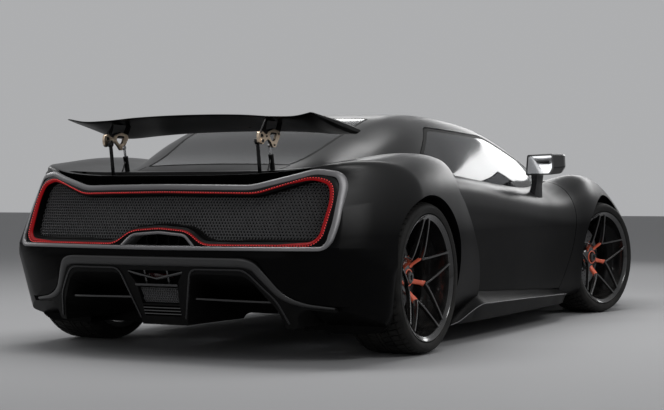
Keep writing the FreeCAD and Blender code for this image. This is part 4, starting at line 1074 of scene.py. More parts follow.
def grown_piece(name, base, tree, **values):
    """A plain mesh from a node tree on a base object, which is used up. Inputs are set by their identifiers."""
    modifier = base.modifiers.new("made", "NODES")
    modifier.node_group = tree
    sockets = {item.name: item.identifier for item in tree.interface.items_tree if item.in_out == "INPUT"}
    for label, value in values.items():
        modifier[sockets[label]] = value
    mesh = evaluated_mesh(base)
    base.modifiers.clear()
    bpy.data.objects.remove(base)
    mesh.name = name
    print(name, "has", len(mesh.polygons), "faces")
    return add_object(name, mesh)


def shape_group(name, inputs):
    """A board on a Geometry Nodes group that makes one mesh from another."""
    return new_group("Geometry", name, {"Geometry": "Geometry", **inputs, "Material": "Material"},
                     {"Geometry": "Geometry"})


def set_shapes(board, shape, **inputs):
    """Ends a group: a shape on each point, made into one mesh with the group's material."""
    instance = board.node("GeometryNodeObjectInfo", Object=board.given[shape]).outputs["Geometry"]
    placed = board.node("GeometryNodeInstanceOnPoints", Instance=instance, **inputs)
    solid = board.node("GeometryNodeRealizeInstances", Geometry=placed)
    board.feed(board.result["Geometry"], board.node("GeometryNodeSetMaterial", Geometry=solid,
                                                    Material=board.given["Material"]))


row = shape_group("shape_along_line", {"Shape": "Object", "Pitch": 0.012})
even = row.node("GeometryNodeResampleCurve", Curve=row.node("GeometryNodeMeshToCurve", Mesh=row.given["Geometry"]))
even.mode = "LENGTH"
row.feed(even.inputs["Length"], row.given["Pitch"])
aimed = row.node("FunctionNodeAlignRotationToVector", Vector=row.node("GeometryNodeInputTangent"))
aimed.axis, aimed.pivot_axis = "Y", "X"
set_shapes(row, "Shape", Points=even, Rotation=aimed)


def wire_loop(name, points):
    """A closed line of edges through points in millimetres, for a node tree to follow."""
    mesh = bpy.data.meshes.new(name)
    mesh.from_pydata((points * mm).tolist(), [(i, (i + 1) % len(points)) for i in range(len(points))], [])
    return add_object(name, mesh)


# %% The lens and its row
lens_y, lens_z = 3.4, 1.5
lens = tool(layered("lens", "yz", [(x, rectangle(lens_y * share, lens_z * share))
                                   for x, share in ((1.5, 1.0), (0, 1.0), (-1.6, 0.6))]))
points_line = even_loop(grown(light_line, 1.2), 5.0)
points_path = np.column_stack([on_tail(points_line[:, 0], points_line[:, 1], -0.6), points_line])
light_points = grown_piece("tail_light_points", wire_loop("line", points_path), row.tree, Shape=lens, Pitch=0.0125,
                           Material=finishes["red_point"])
dress(light_points, "red_point", "chassis", "red_light")

# %% [markdown]
# ## Honeycomb
# The mesh in the tail is a sheet of hexagonal cells. Drawing each cell by hand would take thousands of lines, and
# a bump map would look flat from the side. In Geometry Nodes a grid of points is laid over the opening, every
# second row is shifted by half a cell, points that do not see the backing plate are dropped, and a hexagonal
# tube stands on each point that is left. The same tree makes the mesh of the diffuser's grille and of the nose.

# %% The honeycomb tree
comb = shape_group("honeycomb", {"Plate": "Object", "Cell": "Object", "Pitch": 0.015, "Width": 1.7, "Height": 0.4,
                                 "Middle": "Vector", "Reach": 0.6, "Lift": 0.01})
pitch, reach = comb.given["Pitch"], comb.given["Reach"]
row_pitch = comb.math("MULTIPLY", pitch, math.sqrt(3) / 2)


def grid_side(length, step):
    """How many points a side of the grid has, and how long they make it."""
    count = comb.math("ADD", comb.math("ROUND", comb.math("DIVIDE", length, step)), 1.0)
    return count, comb.math("MULTIPLY", step, comb.math("SUBTRACT", count, 1.0))


(columns, grid_width), (rows, grid_height) = (grid_side(comb.given["Width"], pitch),
                                              grid_side(comb.given["Height"], row_pitch))
grid = comb.node("GeometryNodeMeshGrid", Vertices_X=columns, Vertices_Y=rows, Size_X=grid_width, Size_Y=grid_height)

# %% The grid is stood upright behind the car, every second row shifted by half a cell
spot = comb.node("ShaderNodeSeparateXYZ", Vector=comb.node("GeometryNodeInputPosition")).outputs
odd = comb.math("FLOORED_MODULO", comb.math("ROUND", comb.math("DIVIDE", spot["Y"], row_pitch)), 2.0)
shifted = comb.math("ADD", spot["X"], comb.math("MULTIPLY", odd, comb.math("MULTIPLY", pitch, 0.5)))
upright = comb.node("ShaderNodeCombineXYZ", X=comb.math("MULTIPLY", reach, -1.0), Y=shifted, Z=spot["Y"])
lifted = comb.node("ShaderNodeVectorMath", Vector=upright)
comb.feed(lifted.inputs[1], comb.given["Middle"])
laid = comb.node("GeometryNodeSetPosition", Geometry=grid, Position=lifted)

# %% Each point is dropped onto the plate. Those that miss it are thrown away
plate = comb.node("GeometryNodeObjectInfo", Object=comb.given["Plate"]).outputs["Geometry"]
ray = comb.node("GeometryNodeRaycast", Target_Geometry=plate, Ray_Direction=(1.0, 0.0, 0.0),
                Ray_Length=comb.math("MULTIPLY", reach, 2.0)).outputs
marked = comb.node("GeometryNodeStoreNamedAttribute", Geometry=laid, Name="kept")
marked.data_type = "BOOLEAN"
comb.feed(marked.inputs["Value"], ray["Is Hit"])
seated = comb.node("GeometryNodeSetPosition", Geometry=marked, Position=ray["Hit Position"], Selection=ray["Is Hit"])
kept = comb.node("GeometryNodeInputNamedAttribute", Name="kept")
kept.data_type = "BOOLEAN"
missed = comb.node("FunctionNodeBooleanMath", Boolean=kept.outputs["Attribute"])
missed.operation = "NOT"
trimmed = comb.node("GeometryNodeDeleteGeometry", Geometry=seated, Selection=missed)
raised = comb.node("GeometryNodeSetPosition", Geometry=trimmed, Offset=comb.node(
    "ShaderNodeCombineXYZ", X=comb.math("MULTIPLY", comb.given["Lift"], -1.0)))
set_shapes(comb, "Cell", Points=raised, Scale=comb.node("ShaderNodeCombineXYZ", X=1.0, Y=pitch, Z=pitch))

# %% One cell, drawn a metre wide so that its scale is the pitch
cell_wall, cell_depth = 0.17, 7.0
corner_angles = [math.radians(60 * k + 30) for k in range(6)]
outer_reach = 1000 / math.sqrt(3)
inner_reach = outer_reach * (1 - 2 * cell_wall)
cell_rings = [[(x, r * math.cos(t), r * math.sin(t)) for t in corner_angles]
              for x, r in ((cell_depth, inner_reach), (0.0, inner_reach * 1.04), (-0.8, outer_reach * 0.93),
                           (0.4, outer_reach))]
hexagon = tool(mesh_object("hexagon", np.array(cell_rings).reshape(-1, 3),
                           [(r * 6 + k, r * 6 + (k + 1) % 6, (r + 1) * 6 + (k + 1) % 6, (r + 1) * 6 + k)
                            for r in range(3) for k in range(6)], outward=False))
anchor = bpy.data.meshes.new("anchor")


def honeycomb(name, plate, pitch, lift=0.010):
    """Cells over a plate that faces the car's tail."""
    points = np.array([tuple(v.co) for v in plate.data.vertices])
    low, high = points.min(0), points.max(0)
    depth, width, height = (high - low).tolist()
    return grown_piece(name, add_object("base", anchor.copy()), comb.tree, Plate=plate, Cell=hexagon, Pitch=pitch,
                       Width=width, Height=height, Middle=tuple(((low + high) / 2).tolist()), Reach=depth + 0.1,
                       Lift=lift, Material=finishes["mesh_black"])


# %% Backing plate and mesh of the tail
panel_opening = prism(grown(recess_loop, -13.0), "yz", *behind)
outlet_room = prism(grown(outlet_loop, 6.0), "yz", *behind)
# The backing plate is flat black without sheen: painted shade behind the tail's mesh.
back_plate = smooth(combined("tail_back_plate", end_mass(tail_face, recess_depth + 4),
                             meet=[prism(recess_loop, "yz", *behind)], cut=[tail_core, outlet_room]))
dress(back_plate, "void_black", "chassis", "dark_plastic", "tail_panel")
comb_plate = tool(combined("comb_plate", end_mass(tail_face, 73.0), meet=[panel_opening],
                           cut=[end_mass(tail_face, 77.0), outlet_room]))
# The tail's mesh takes the grey with painted sheen on its cells.
tail_comb = honeycomb("tail_honeycomb", comb_plate, 0.0150, lift=0.006)
dress(tail_comb, "mesh_black", "chassis", "dark_plastic")

# %% Recess walls step in twice before they reach the mesh
wall_profile = [(-10, 38), (-14, 34), (-15, 66), (-27, 70), (-27, 80), (-8, 80)]
recess_wall = smooth(moulding("recess_wall", recess_loop, wall_profile, on_tail), 40)
dress(recess_wall, "moulded_black", "chassis", "dark_plastic")
# %% [markdown]
# ## Exhaust outlet
# A low hump in the middle of the tail lets the exhaust out. Its rim is a slim moulding like the lip's, and two
# round pipes stand a little inside. Rims like this are pressed from sheet, so the edge is rolled and thin.

# %% Outlet rim, its throat in painted shade, and the pipes
rim_profile = [(4, 14), (1, -1), (-4, -4), (-10, -1), (-12, 5), (-12, 140), (-2, 140), (0, 40)]
outlet_rim = smooth(moulding("outlet_rim", outlet_loop, rim_profile, on_tail), 40)
dress(outlet_rim, "lip_grey", "chassis", "cast_metal", "exhaust_outlet")
# The throat's back is flat black without sheen: painted shade inside the outlet.
outlet_back = combined("outlet_back", end_mass(tail_face, 128), meet=[prism(grown(outlet_loop, -6.0), "yz", *behind)],
                       cut=[end_mass(tail_face, 138)])
dress(outlet_back, "void_black", "chassis", "dark_plastic")


def tube(name, path, radius, bore=0.0, sides=32):
    """A round pipe along points in millimetres, hollow where a bore is given."""
    path = np.asarray(path, float)
    along = np.gradient(path, axis=0)
    along /= np.linalg.norm(along, axis=1)[:, None]
    side = np.cross(along, [0.0, 0.0, 1.0] if abs(along[0, 2]) < 0.9 else [0.0, 1.0, 0.0])
    side /= np.linalg.norm(side, axis=1)[:, None]
    up = np.cross(side, along)
    turns = full_turn(sides)[None, :, None]
    circle = side[:, None] * np.cos(turns) + up[:, None] * np.sin(turns)
    outer = path[:, None] + circle * radius
    if not bore:
        return ring_solid(name, outer)
    inner = path[::-1, None] + circle[::-1] * bore
    return ring_solid(name, np.concatenate([outer, inner]), closed=True)


pipe_end, pipe_z = tail_end + 96, 532
pipes = joined("exhaust_pipes", [tube("pipe", [(pipe_end + run, y, pipe_z) for run in (110, 40, 0)], 30, 27)
                                 for y in (-58, 58)])
dress(smooth(pipes), "moulded_black", "chassis", "cast_metal")

# %% [markdown]
# ## Diffuser
# Under the tail the floor opens into two tunnels, which slow the air down and suck the car to the road. A smooth
# band runs over them like a hoop and ends in a small fin on each side. Between the tunnels stands a block with
# the fog lamp's grille. A diffuser is moulded in one piece, so it is cut from one solid here.

# %% The body with its tunnels
diffuser_front = rear_axle - 215
tunnels = []
for sign in (1, -1):
    mouth, throat = (filleted([(sign * y, z) for y, z in outline], 34, 6) for outline in (tunnel_mouth, tunnel_throat))
    tunnels.append(tool(layered("tunnel", "yz", ((tail_end - 20, mouth), (diffuser_front + 20, throat)))))
hoop_solid = prism(tail_loop(hoop_outer, 26), "yz", tail_end - 20, diffuser_front)
grille_outline = [(-98, 246), (98, 246), (106, 324), (-106, 324)]
louvre_outline = [(-96, 190), (96, 190), (98, 238), (-98, 238)]
lamp_outline = filleted([(-108, 336), (108, 336), (150, 398), (-150, 398)], 12)
pockets = [tool(combined("pocket", prism(outline, "yz", *behind), cut=[end_mass(undertail_face, depth)]))
           for outline, depth in ((grille_outline, 40), (louvre_outline, 60), (lamp_outline, 70))]
diffuser = combined("diffuser_body", hoop_solid, meet=[end_mass(undertail_face, 4.0)],
                    cut=tunnels + rear_wells + pockets)
smooth(diffuser, 28)
dress(diffuser, "moulded_black", "chassis", "dark_plastic", "diffuser")

# %% The band over it, the tunnels' edges and the vanes
half_hoop = [(800, 244), (680, 262), (606, 298), (512, 438), (462, 457)]
hoop_line = filleted(half_hoop + [(-y, z) for y, z in reversed(half_hoop)], 70, 8, closed=False)
band_profile = [(1, 10), (1, 2), (-4, -2), (-14, -4), (-26, -3), (-36, 0), (-40, 6), (-40, 14)]
hoop_band = smooth(moulding(
    "hoop_band", hoop_line, band_profile, on_undertail, closed=False,
    width=lambda y, z: np.interp(abs(y), (480, 600, 700, 800), (1.0, 0.75, 0.4, 0.25))), 50)
# The band's brighter satin is painted sheen on its top.
dress(hoop_band, "band_satin", "chassis", "grey_trim")


def under_strip(name, line, profile):
    """A moulding along an open line on the diffuser's face."""
    return moulding(name, line, profile, on_undertail, closed=False)


edges, vanes = [], []
vane_outline = [(120, 276), (610, 268), (610, 260), (120, 268)]
for sign, tunnel in zip((1, -1), tunnels):
    line = filleted([(sign * y, z) for y, z in [(120, 180)] + tunnel_mouth[:4]], 34, 6, closed=False)
    edges.append(under_strip("edge", line, [(4, 6), (4, -1), (0, -3), (-4, -1), (-4, 10)]))
    inside_tunnel = tool(combined("reach", tunnel, meet=[end_mass(undertail_face, 40)]))
    vane = prism([(sign * y, z) for y, z in vane_outline], "yz", tail_end, tail_end + 340)
    vanes.append(combined("vane", vane, meet=[inside_tunnel]))
dress(smooth(joined("tunnel_edges", edges), 50), "edge_black", "chassis", "grey_trim")
dress(smooth(joined("diffuser_vanes", vanes)), "gloss_black", "chassis", "dark_plastic")

# %% The block between the tunnels
grille_plate = tool(combined("plate", end_mass(undertail_face, 24), cut=[end_mass(undertail_face, 28)],
                             meet=[prism(grown(grille_outline, -3.0), "yz", *behind)]))
# The grille's mesh takes the grey with painted sheen on its cells too.
dress(honeycomb("lower_honeycomb", grille_plate, 0.0125, lift=0.0), "mesh_black", "chassis", "dark_plastic")
bar_lines = [([(152, 392), (0, 358), (-152, 392)], [(5, 20), (5, 8), (0, 5), (-5, 8), (-5, 20)]),
             ([(112, 332), (-112, 332)], [(6, 12), (5, -2), (0, -4), (-5, -2), (-6, 12)])]
bar_lines += [([(y, 398), (y, 336)], [(4, 40), (4, 14), (-4, 14), (-4, 40)]) for y in (-60, 60)]
bar_lines += [([(98, z), (-98, z)], [(4, 34), (3, 4), (-1, 2), (-4, 22), (-4, 34)]) for z in (199, 213, 227)]
diffuser_bars = joined("diffuser_bars", [under_strip("bar", *bar) for bar in bar_lines])
dress(smooth(diffuser_bars, 40), "gloss_black", "chassis", "dark_plastic")
fog_lens = under_strip("fog_lens", [(70, 372), (-70, 372)], [(9, 52), (9, 48), (-9, 48), (-9, 52)])
dress(fog_lens, "red_lens", "chassis", "red_light")
# %% [markdown]
# ## Rear wing
# The wing tilts up as an air brake, on a pivot at each side, pushed by a slim ram. Its section is a real aerofoil
# turned over, so that it presses down. It is lofted from the same table as the CAD wing, but with many more
# stations and with each section's corners cut soft. The tips close over a few shrinking rings.

# %% The aerofoil
# Columns: y, height of the trailing edge, of the leading edge, thickness, and how far the trailing edge stands short.
wing_tail, wing_chord = rear_axle - 518, 490.0
pivot_x, pivot_z = rear_axle - 536, 971.0
wing_table = [(0, 1098, 1043, 34, 32), (300, 1091, 1039, 34, 26), (460, 1080, 1033, 32, 14), (590, 1081, 1028, 28, 4),
              (664, 1095, 1030, 24, 0)]
wing_shape = [(0, -0.1), (0.3, -0.22), (0.7, -0.45), (0.95, -0.35), (1, 0.05), (0.92, 0.4), (0.6, 0.55), (0.25, 0.3),
              (0, 0.12)]


def soft_loop(points, rounds=3):
    """Chaikin's corner cutting round a closed line."""
    points = np.asarray(points, float)
    for _ in range(rounds):
        after = np.roll(points, -1, 0)
        points = np.stack([0.75 * points + 0.25 * after, 0.25 * points + 0.75 * after], 1).reshape(-1, points.shape[1])
    return points


def wing_rings(tip=10.0):
    """The wing's sections from tip to tip, which close over the last stretch at each end."""
    rows = [(-y, *rest) for y, *rest in reversed(wing_table[1:])] + wing_table
    span = wing_table[-1][0]
    rings = []
    for y in np.linspace(-span, span, 121):
        tail_z, nose_z, thick, short = smooth_rows(rows, [y])[0, 1:]
        outline = soft_loop(wing_shape)
        outline[:, 1] *= np.where(outline[:, 1] < 0, 1 + 1.8 * (abs(y) / span) ** 4, 1)
        inset = max(0.0, abs(y) - (span - tip)) / tip
        outline = outline.mean(0) + (outline - outline.mean(0)) * np.array(
            [1 - 0.02 * inset, math.sqrt(max(1 - 0.8 * inset**2, 0.05))])
        x0, x1 = wing_tail + short, wing_tail + wing_chord
        share = outline[:, 0]
        rings.append(np.column_stack([x0 + (x1 - x0) * share, np.full(len(share), y),
                                      tail_z + (nose_z - tail_z) * share + outline[:, 1] * thick]))
    return rings


wing = smooth(ring_solid("wing_blade", wing_rings()), 40)
dress(wing, "wing_black", "wing", "gloss_black", "wing")

# %% Gold brackets
strut_y, strut_thickness = 398.0, 16.0
bracket_low = strut_y + strut_thickness / 2 + 5
bracket_high = bracket_low + 12
bracket_outline = [(-14, -16), (-26, -6), (-32, 14), (-28, 40), (6, 46), (24, 34), (44, 30), (56, 44), (108, 58),
                   (160, 48), (166, 30), (140, -4), (122, -26), (98, -28), (82, -8), (52, 10), (16, -8)]
hanger_outline = [(-26, 20), (-4, 12), (40, 18), (100, 34), (158, 30), (200, 112), (48, 112)]


def slab(name, outline, low, high, edge=1.6, radius=10):
    """A plate in the car's side plane with rounded corners and a small chamfer round both faces."""
    line = filleted(outline, radius, 6)
    inner = grown(line, -edge)
    return layered(name, "xz", ((low, inner), (low + edge, line), (high - edge, line), (high, inner)))


def round_boss(name, x, z, radius, low, high, edge=1.2, sides=40):
    """A round pad or pin across the car, chamfered at both ends."""
    levels = ((low, radius - edge), (low + edge, radius), (high - edge, radius), (high, radius - edge))
    return layered(name, "xz", [(y, circle(x, z, r, sides)) for y, r in levels])


def both_wings(make):
    """A left piece from make() and its mirror, joined."""
    left = make()
    return joined(left.name, [left, mirrored(left, "twin")])


def from_pivot(points):
    return [(pivot_x + x, pivot_z + z) for x, z in points]


def bracket_window(hole):
    """A rounded opening through the plates of a bracket."""
    return prism(filleted(from_pivot(hole), 8), "xz", bracket_low - 5, bracket_high + 5)


def gold_bracket():
    plate = tool(slab("plate", from_pivot(bracket_outline), bracket_low, bracket_high))
    windows = [bracket_window([(-16, 16), (-12, 32), (6, 34), (16, 18)]),
               bracket_window([(66, 22), (80, 42), (134, 40), (118, 6), (92, 0)])]
    boss = round_boss("boss", pivot_x, pivot_z, 15, bracket_high - 2, bracket_high + 4)
    return joined("wing_bracket_pair", [combined("bracket", plate, cut=windows), boss])


def hanger():
    """The black upright that carries the gold plate from the wing's underside."""
    plate = tool(slab("plate", from_pivot(hanger_outline), bracket_low + 1.5, bracket_high - 1.5, radius=6))
    window = bracket_window([(30, 40), (48, 92), (160, 92), (132, 46), (100, 60), (54, 52)])
    return combined("wing_hanger_pair", plate, cut=[window, under_skin])


under_skin = tool(ring_solid("under_skin", [ring + np.array([0.0, 0.0, 3.0]) for ring in wing_rings()]))
hangers = both_wings(hanger)
dress(smooth(hangers, 30), "wing_black", "wing", "gloss_black")
brackets = both_wings(gold_bracket)
dress(smooth(brackets, 30), "champagne_gold", "wing", "gold_metal", "wing_brackets")


def bracket_pins():
    """The pivot's pin and four bolts."""
    pins = [round_boss("pins", pivot_x, pivot_z, 8, bracket_low - 21, bracket_high + 7)]
    for x, z in from_pivot(((-12, 40), (40, 22), (148, 36), (110, -15))):
        pins.append(round_boss("pin", x, z, 4.5, bracket_high - 2, bracket_high + 3.5, 0.8, 16))
    return joined("bracket_pin_pair", pins)


dress(smooth(both_wings(bracket_pins), 40), "dark_steel", "wing", "dark_steel")

# %% Struts and rams
ram_top = np.array([pivot_x + 110, pivot_z - 15])
ram_base = np.array([rear_axle - 400, 846.0])
ram_length = np.linalg.norm(ram_top - ram_base)
ram_lean = (ram_top - ram_base) / ram_length


def on_ram(distance, y=strut_y):
    x, z = ram_base + ram_lean * distance
    return (x, y, z)


def strut_set():
    """A leg with its eye on the pivot, and the ram's sleeve with the link that holds it."""
    low, high = strut_y - strut_thickness / 2, strut_y + strut_thickness / 2
    bore = round_hole(pivot_x, pivot_z, 8.3, low - 5, high + 5, 48)
    leg = tool(tube("leg", [(pivot_x + x, strut_y, z) for x, z in ((41, 700), (22, 830), (2, pivot_z - 9))], 8.5))
    strut = combined("wing_strut_pair", leg, cut=[bore, rear_clam])
    eye = combined("eye", tool(round_boss("eye", pivot_x, pivot_z, 16, low, high)), cut=[bore])
    foot = tube("foot", [(pivot_x + 36, strut_y, 735), (pivot_x + 27, strut_y, 795)], 13)
    link = tube("link", [(pivot_x + 48, strut_y, 745), on_ram(0.5 * ram_length)], 4)
    sleeve_length = 0.62 * ram_length
    sleeve = tool(tube("sleeve", [on_ram(d) for d in (-60, 0, sleeve_length)], 12, 6.4))
    collar = tube("collar", [on_ram(sleeve_length - d) for d in (12, 6, 2)], 12.6, 6.5)
    return joined("wing_strut_pair", [strut, eye, foot, link, combined("sleeve", sleeve, cut=[rear_clam]), collar])


dress(smooth(both_wings(strut_set), 30), "strut_black", "chassis", "dark_steel", "wing_struts")
for side, sign in (("left", 1), ("right", -1)):
    y = sign * strut_y
    rod = tube("rod", [on_ram(d, y) for d in (24, 60, ram_length - 6)], 6)
    eye = round_boss("eye", *ram_top, 11, y - 5, y + 5)
    ram = joined("ram_plunger_" + side, [rod, eye])
    dress(smooth(ram, 40), "bright_steel", "ram_" + side, "cast_metal", "ram_rod_" + side)
print("wing:", len(wing.data.polygons), "faces")
# %% [markdown]
# ## Wheels
# A wheel is the same shape again and again round an axle: spokes, tread blocks, a disc's holes and the bobbins that
# hold it. So one Geometry Nodes tree sets a shape round an axle, and each repeated piece is drawn once, at the top
# of the wheel. Wheels are drawn for the left side at the origin, +Y outwards, and are then moved to their hubs.

# %% A node tree that sets one shape round an axle
turner = shape_group("shape_round_axle", {"Shape": "Object", "Count": 5})
spots = turner.node("GeometryNodeMeshLine", Count=turner.given["Count"], Offset=(0.0, 0.0, 0.0))
angle = turner.math("MULTIPLY", turner.node("GeometryNodeInputIndex"),
                    turner.math("DIVIDE", 2 * math.pi, turner.given["Count"]))
set_shapes(turner, "Shape", Points=spots, Rotation=turner.node("ShaderNodeCombineXYZ", Y=angle))


def round_axle(name, shape, count, material):
    return grown_piece(name, add_object("base", anchor.copy()), turner.tree, Shape=tool(shape), Count=count,
                       Material=finishes[material])


# %% Turned rings and limbs


def turned(name, profile, sides=144):
    """A body of revolution about the wheel's Y axis from (y, radius) points."""
    return ring_solid(name, [[(r * math.sin(t), y, r * math.cos(t)) for y, r in profile] for t in full_turn(sides)],
                      closed=True)


def limb(name, stations, round_off=0.35, steps=5):
    """A spoke-like bar. stations: (radius, sideways, y, width, depth), the section's middle and its size. The
    section is a rectangle with rounded corners, square to the wheel's axis."""
    rings = []
    for radius, sideways, y, width, depth in stations:
        section = filleted(rectangle(width / 2, depth / 2), round_off * min(width, depth), steps)
        rings.append([(sideways + a, y + b, radius) for a, b in section])
    return ring_solid(name, rings)


def swung(points, degrees):
    """Stations turned about the axle: (radius, sideways, ...) to the same station at another angle."""
    t = math.radians(degrees)
    return [(r * math.cos(t) - s * math.sin(t), s * math.cos(t) + r * math.sin(t), *rest) for r, s, *rest in points]


# %% Depths that every wheel shares
# From the lip inwards come the rim's dish, the hub, the disc's bell and the disc.
edge_margin, bead_margin, hub_depth, bell_depth, disc_depth = 7, 16, 40, 38, 24
arm_count, arm_angle = 5, 36


def disc_faces(width, dish):
    """y of the bell's mounting face and of the disc's outer and inner faces."""
    back = width / 2 - edge_margin - dish - hub_depth
    return back, back - bell_depth, back - bell_depth - disc_depth


# %% Rim: barrel, hub, and five arms that fork into two thin spokes each


def make_rim(width, rim_radius, dish):
    """The black rim, and the coral arms with the ring round the wheel nut."""
    lip, bead, seat = width / 2 - edge_margin, width / 2 - bead_margin, rim_radius - 20
    hub_y = lip - dish
    barrel = turned("barrel", [
        (-lip, seat - 10), (-bead, seat - 12), (0, seat - 14), (bead - 30, seat - 11), (bead - 4, seat - 6),
        (lip - 4, rim_radius - 9), (lip - 0.5, rim_radius - 6), (lip, rim_radius - 4), (lip - 3, rim_radius - 3),
        (bead, rim_radius - 3), (bead, seat), (-bead, seat), (-bead, rim_radius - 3), (-lip, rim_radius - 3)])
    hub = turned("hub", [(hub_y - hub_depth, 27), (hub_y - hub_depth, 80), (hub_y - 10, 80), (hub_y - 3, 72),
                         (hub_y - 2, 58), (hub_y + 2, 46), (hub_y + 3, 34), (hub_y - 2, 27)], 96)
    arm_y, fork, far = hub_y - 14, 102, seat - 6
    spread = math.radians(6)
    spokes = []
    for side in (-1, 1):
        root = np.array(swung([(fork, 0.0)], side * arm_angle)[0])
        tip = np.array([far * math.cos(spread), side * far * math.sin(spread)])
        spokes.append(limb("spoke", [
            (*(root + (tip - root) * t), hub_y - 4 + (dish - 10) * (0.42 + 0.58 * t**0.75),
             11 - 2.0 * t + 5 * max(0, t - 0.85) / 0.15, 24 - 8 * t) for t in np.linspace(0, 1, 9)]))
    ring_of_spokes = round_axle("spokes", joined("pair", spokes), arm_count, "wheel_black")
    rise = [(52, 0, arm_y, 34, 26), (66, 0, arm_y + 8, 27, 24), (84, 0, arm_y + 0.26 * dish, 24, 24),
            (98, 0, arm_y + 0.40 * dish, 27, 24), (108, 0, arm_y + 0.47 * dish, 32, 20)]
    arms = round_axle("arms", limb("arm", swung(rise, arm_angle)), arm_count, "coral_paint")
    nut = turned("nut", [(hub_y - 6, 0.5), (hub_y - 6, 33), (hub_y + 14, 31), (hub_y + 18, 26), (hub_y + 18, 14),
                         (hub_y + 12, 12), (hub_y + 12, 0.5)], 6)
    ring = turned("ring", [(hub_y, 34), (hub_y, 41), (hub_y + 6, 40), (hub_y + 6, 35)], 96)
    return joined("rim", [barrel, hub, ring_of_spokes, nut]), joined("arms", [arms, ring])


# %% Disc, drilled in one sector and repeated


def make_disc(width, dish, rotor_radius):
    """The disc, its holes, and the bell that carries it."""
    back, face, far_face = disc_faces(width, dish)
    sectors, inner = 24, 92.0
    edge = [(far_face, rotor_radius - 0.5), (face - 9, rotor_radius), (face - 9, rotor_radius - 5),
            (face - 15, rotor_radius - 5), (face - 15, rotor_radius), (face, rotor_radius - 0.5), (face, inner),
            (far_face, inner)]
    rim_edge = turned("edge", edge)
    holes = []
    for r, share in ((108, 0.25), (128, 0.7), (148, 0.3), (166, 0.75)):
        t = 2 * math.pi / sectors * share
        hole = circle(r * math.sin(t), r * math.cos(t), 3.4, 12)
        holes.append(layered("hole", "xz", ((face + 0.3, hole), (face - 2, hole))))
    # The holes are thin flat-black plugs on the disc's face: painted shade in place of open holes.
    drilled = round_axle("drilled", joined("holes", holes), sectors, "void_black")
    bell = turned("bell", [(back, 27), (back, 74), (back - 4, 80), (face + 6, 82), (face + 1, 96), (face - 6, 96),
                           (face - 8, 74), (back - 9, 70), (back - 9, 27)], 96)
    bobbin = round_boss("bobbin", 0, 89, 5.5, face - 4, face + 5, 0.8, 16)
    bobbins = round_axle("bobbins", bobbin, 10, "bright_steel")
    return rim_edge, drilled, joined("bell", [bell, bobbins])


# %% Tyre: a smooth carcass with tread blocks


def make_tyre(radius, width, rim_radius):
    half = width / 2
    bead = half - bead_margin
    groove, pitches, sides = 6.0, 60, 180
    wall = [(bead - 1, rim_radius - 19.5), (bead - 1, rim_radius - 2.5), (half - 5, rim_radius + 3),
            (half - 1.5, rim_radius + 14), (half - 0.3, rim_radius + 25), (half - 4, radius - 20),
            (half - 10, radius - 12), (half - 20, radius - groove - 2), (half - 44, radius - groove)]
    carcass = turned("carcass", wall + [(-y, r) for y, r in reversed(wall)], sides)
    ridge = turned("ridge", [(half - 0.6, rim_radius + 24), (half, rim_radius + 25), (half, rim_radius + 27),
                             (half - 0.6, rim_radius + 28)], sides)
    blocks = []

    def block_strip(y0, y1, start0, start1, share, drop0=0.0, drop1=0.0):
        """One slanted tread block from y0 to y1. start: where it begins at each edge, as a share of the pitch."""
        rings = []
        middle = ((y0 + y1) / 2, (start0 + start1) / 2, (drop0 + drop1) / 2 * 0.7)
        for y, start, drop in ((y0, start0, drop0), middle, (y1, start1, drop1)):
            top = radius - drop
            low = top - groove - 3
            outline = ((0, low), (0, top - 1), (0.04, top), (share - 0.04, top), (share, top - 1), (share, low))
            spun = [((start + a) * (2 * math.pi / pitches), r) for a, r in outline]
            rings.append([(r * math.sin(t), y, r * math.cos(t)) for t, r in spun])
        blocks.append(ring_solid("block", rings))

    for s in (-1, 1):
        block_strip(s * 12, s * 52, 0.0, 0.42, 0.80)
        block_strip(s * 60, s * (half - 44), 0.46, 0.80, 0.78, 0, 0.8)
        block_strip(s * (half - 36), s * (half - 7), 0.86, 1.10, 0.74, 1.6, 15.5)
    tread = round_axle("tread", joined("blocks", blocks), pitches, "tyre_rubber")
    rib = turned("rib", [(-7, radius - 8), (-7, radius - 0.8), (-6, radius), (6, radius), (7, radius - 0.8),
                         (7, radius - 8)], sides)
    return joined("tyre", [carcass, ridge, tread, rib])


# %% Upright with its caliper


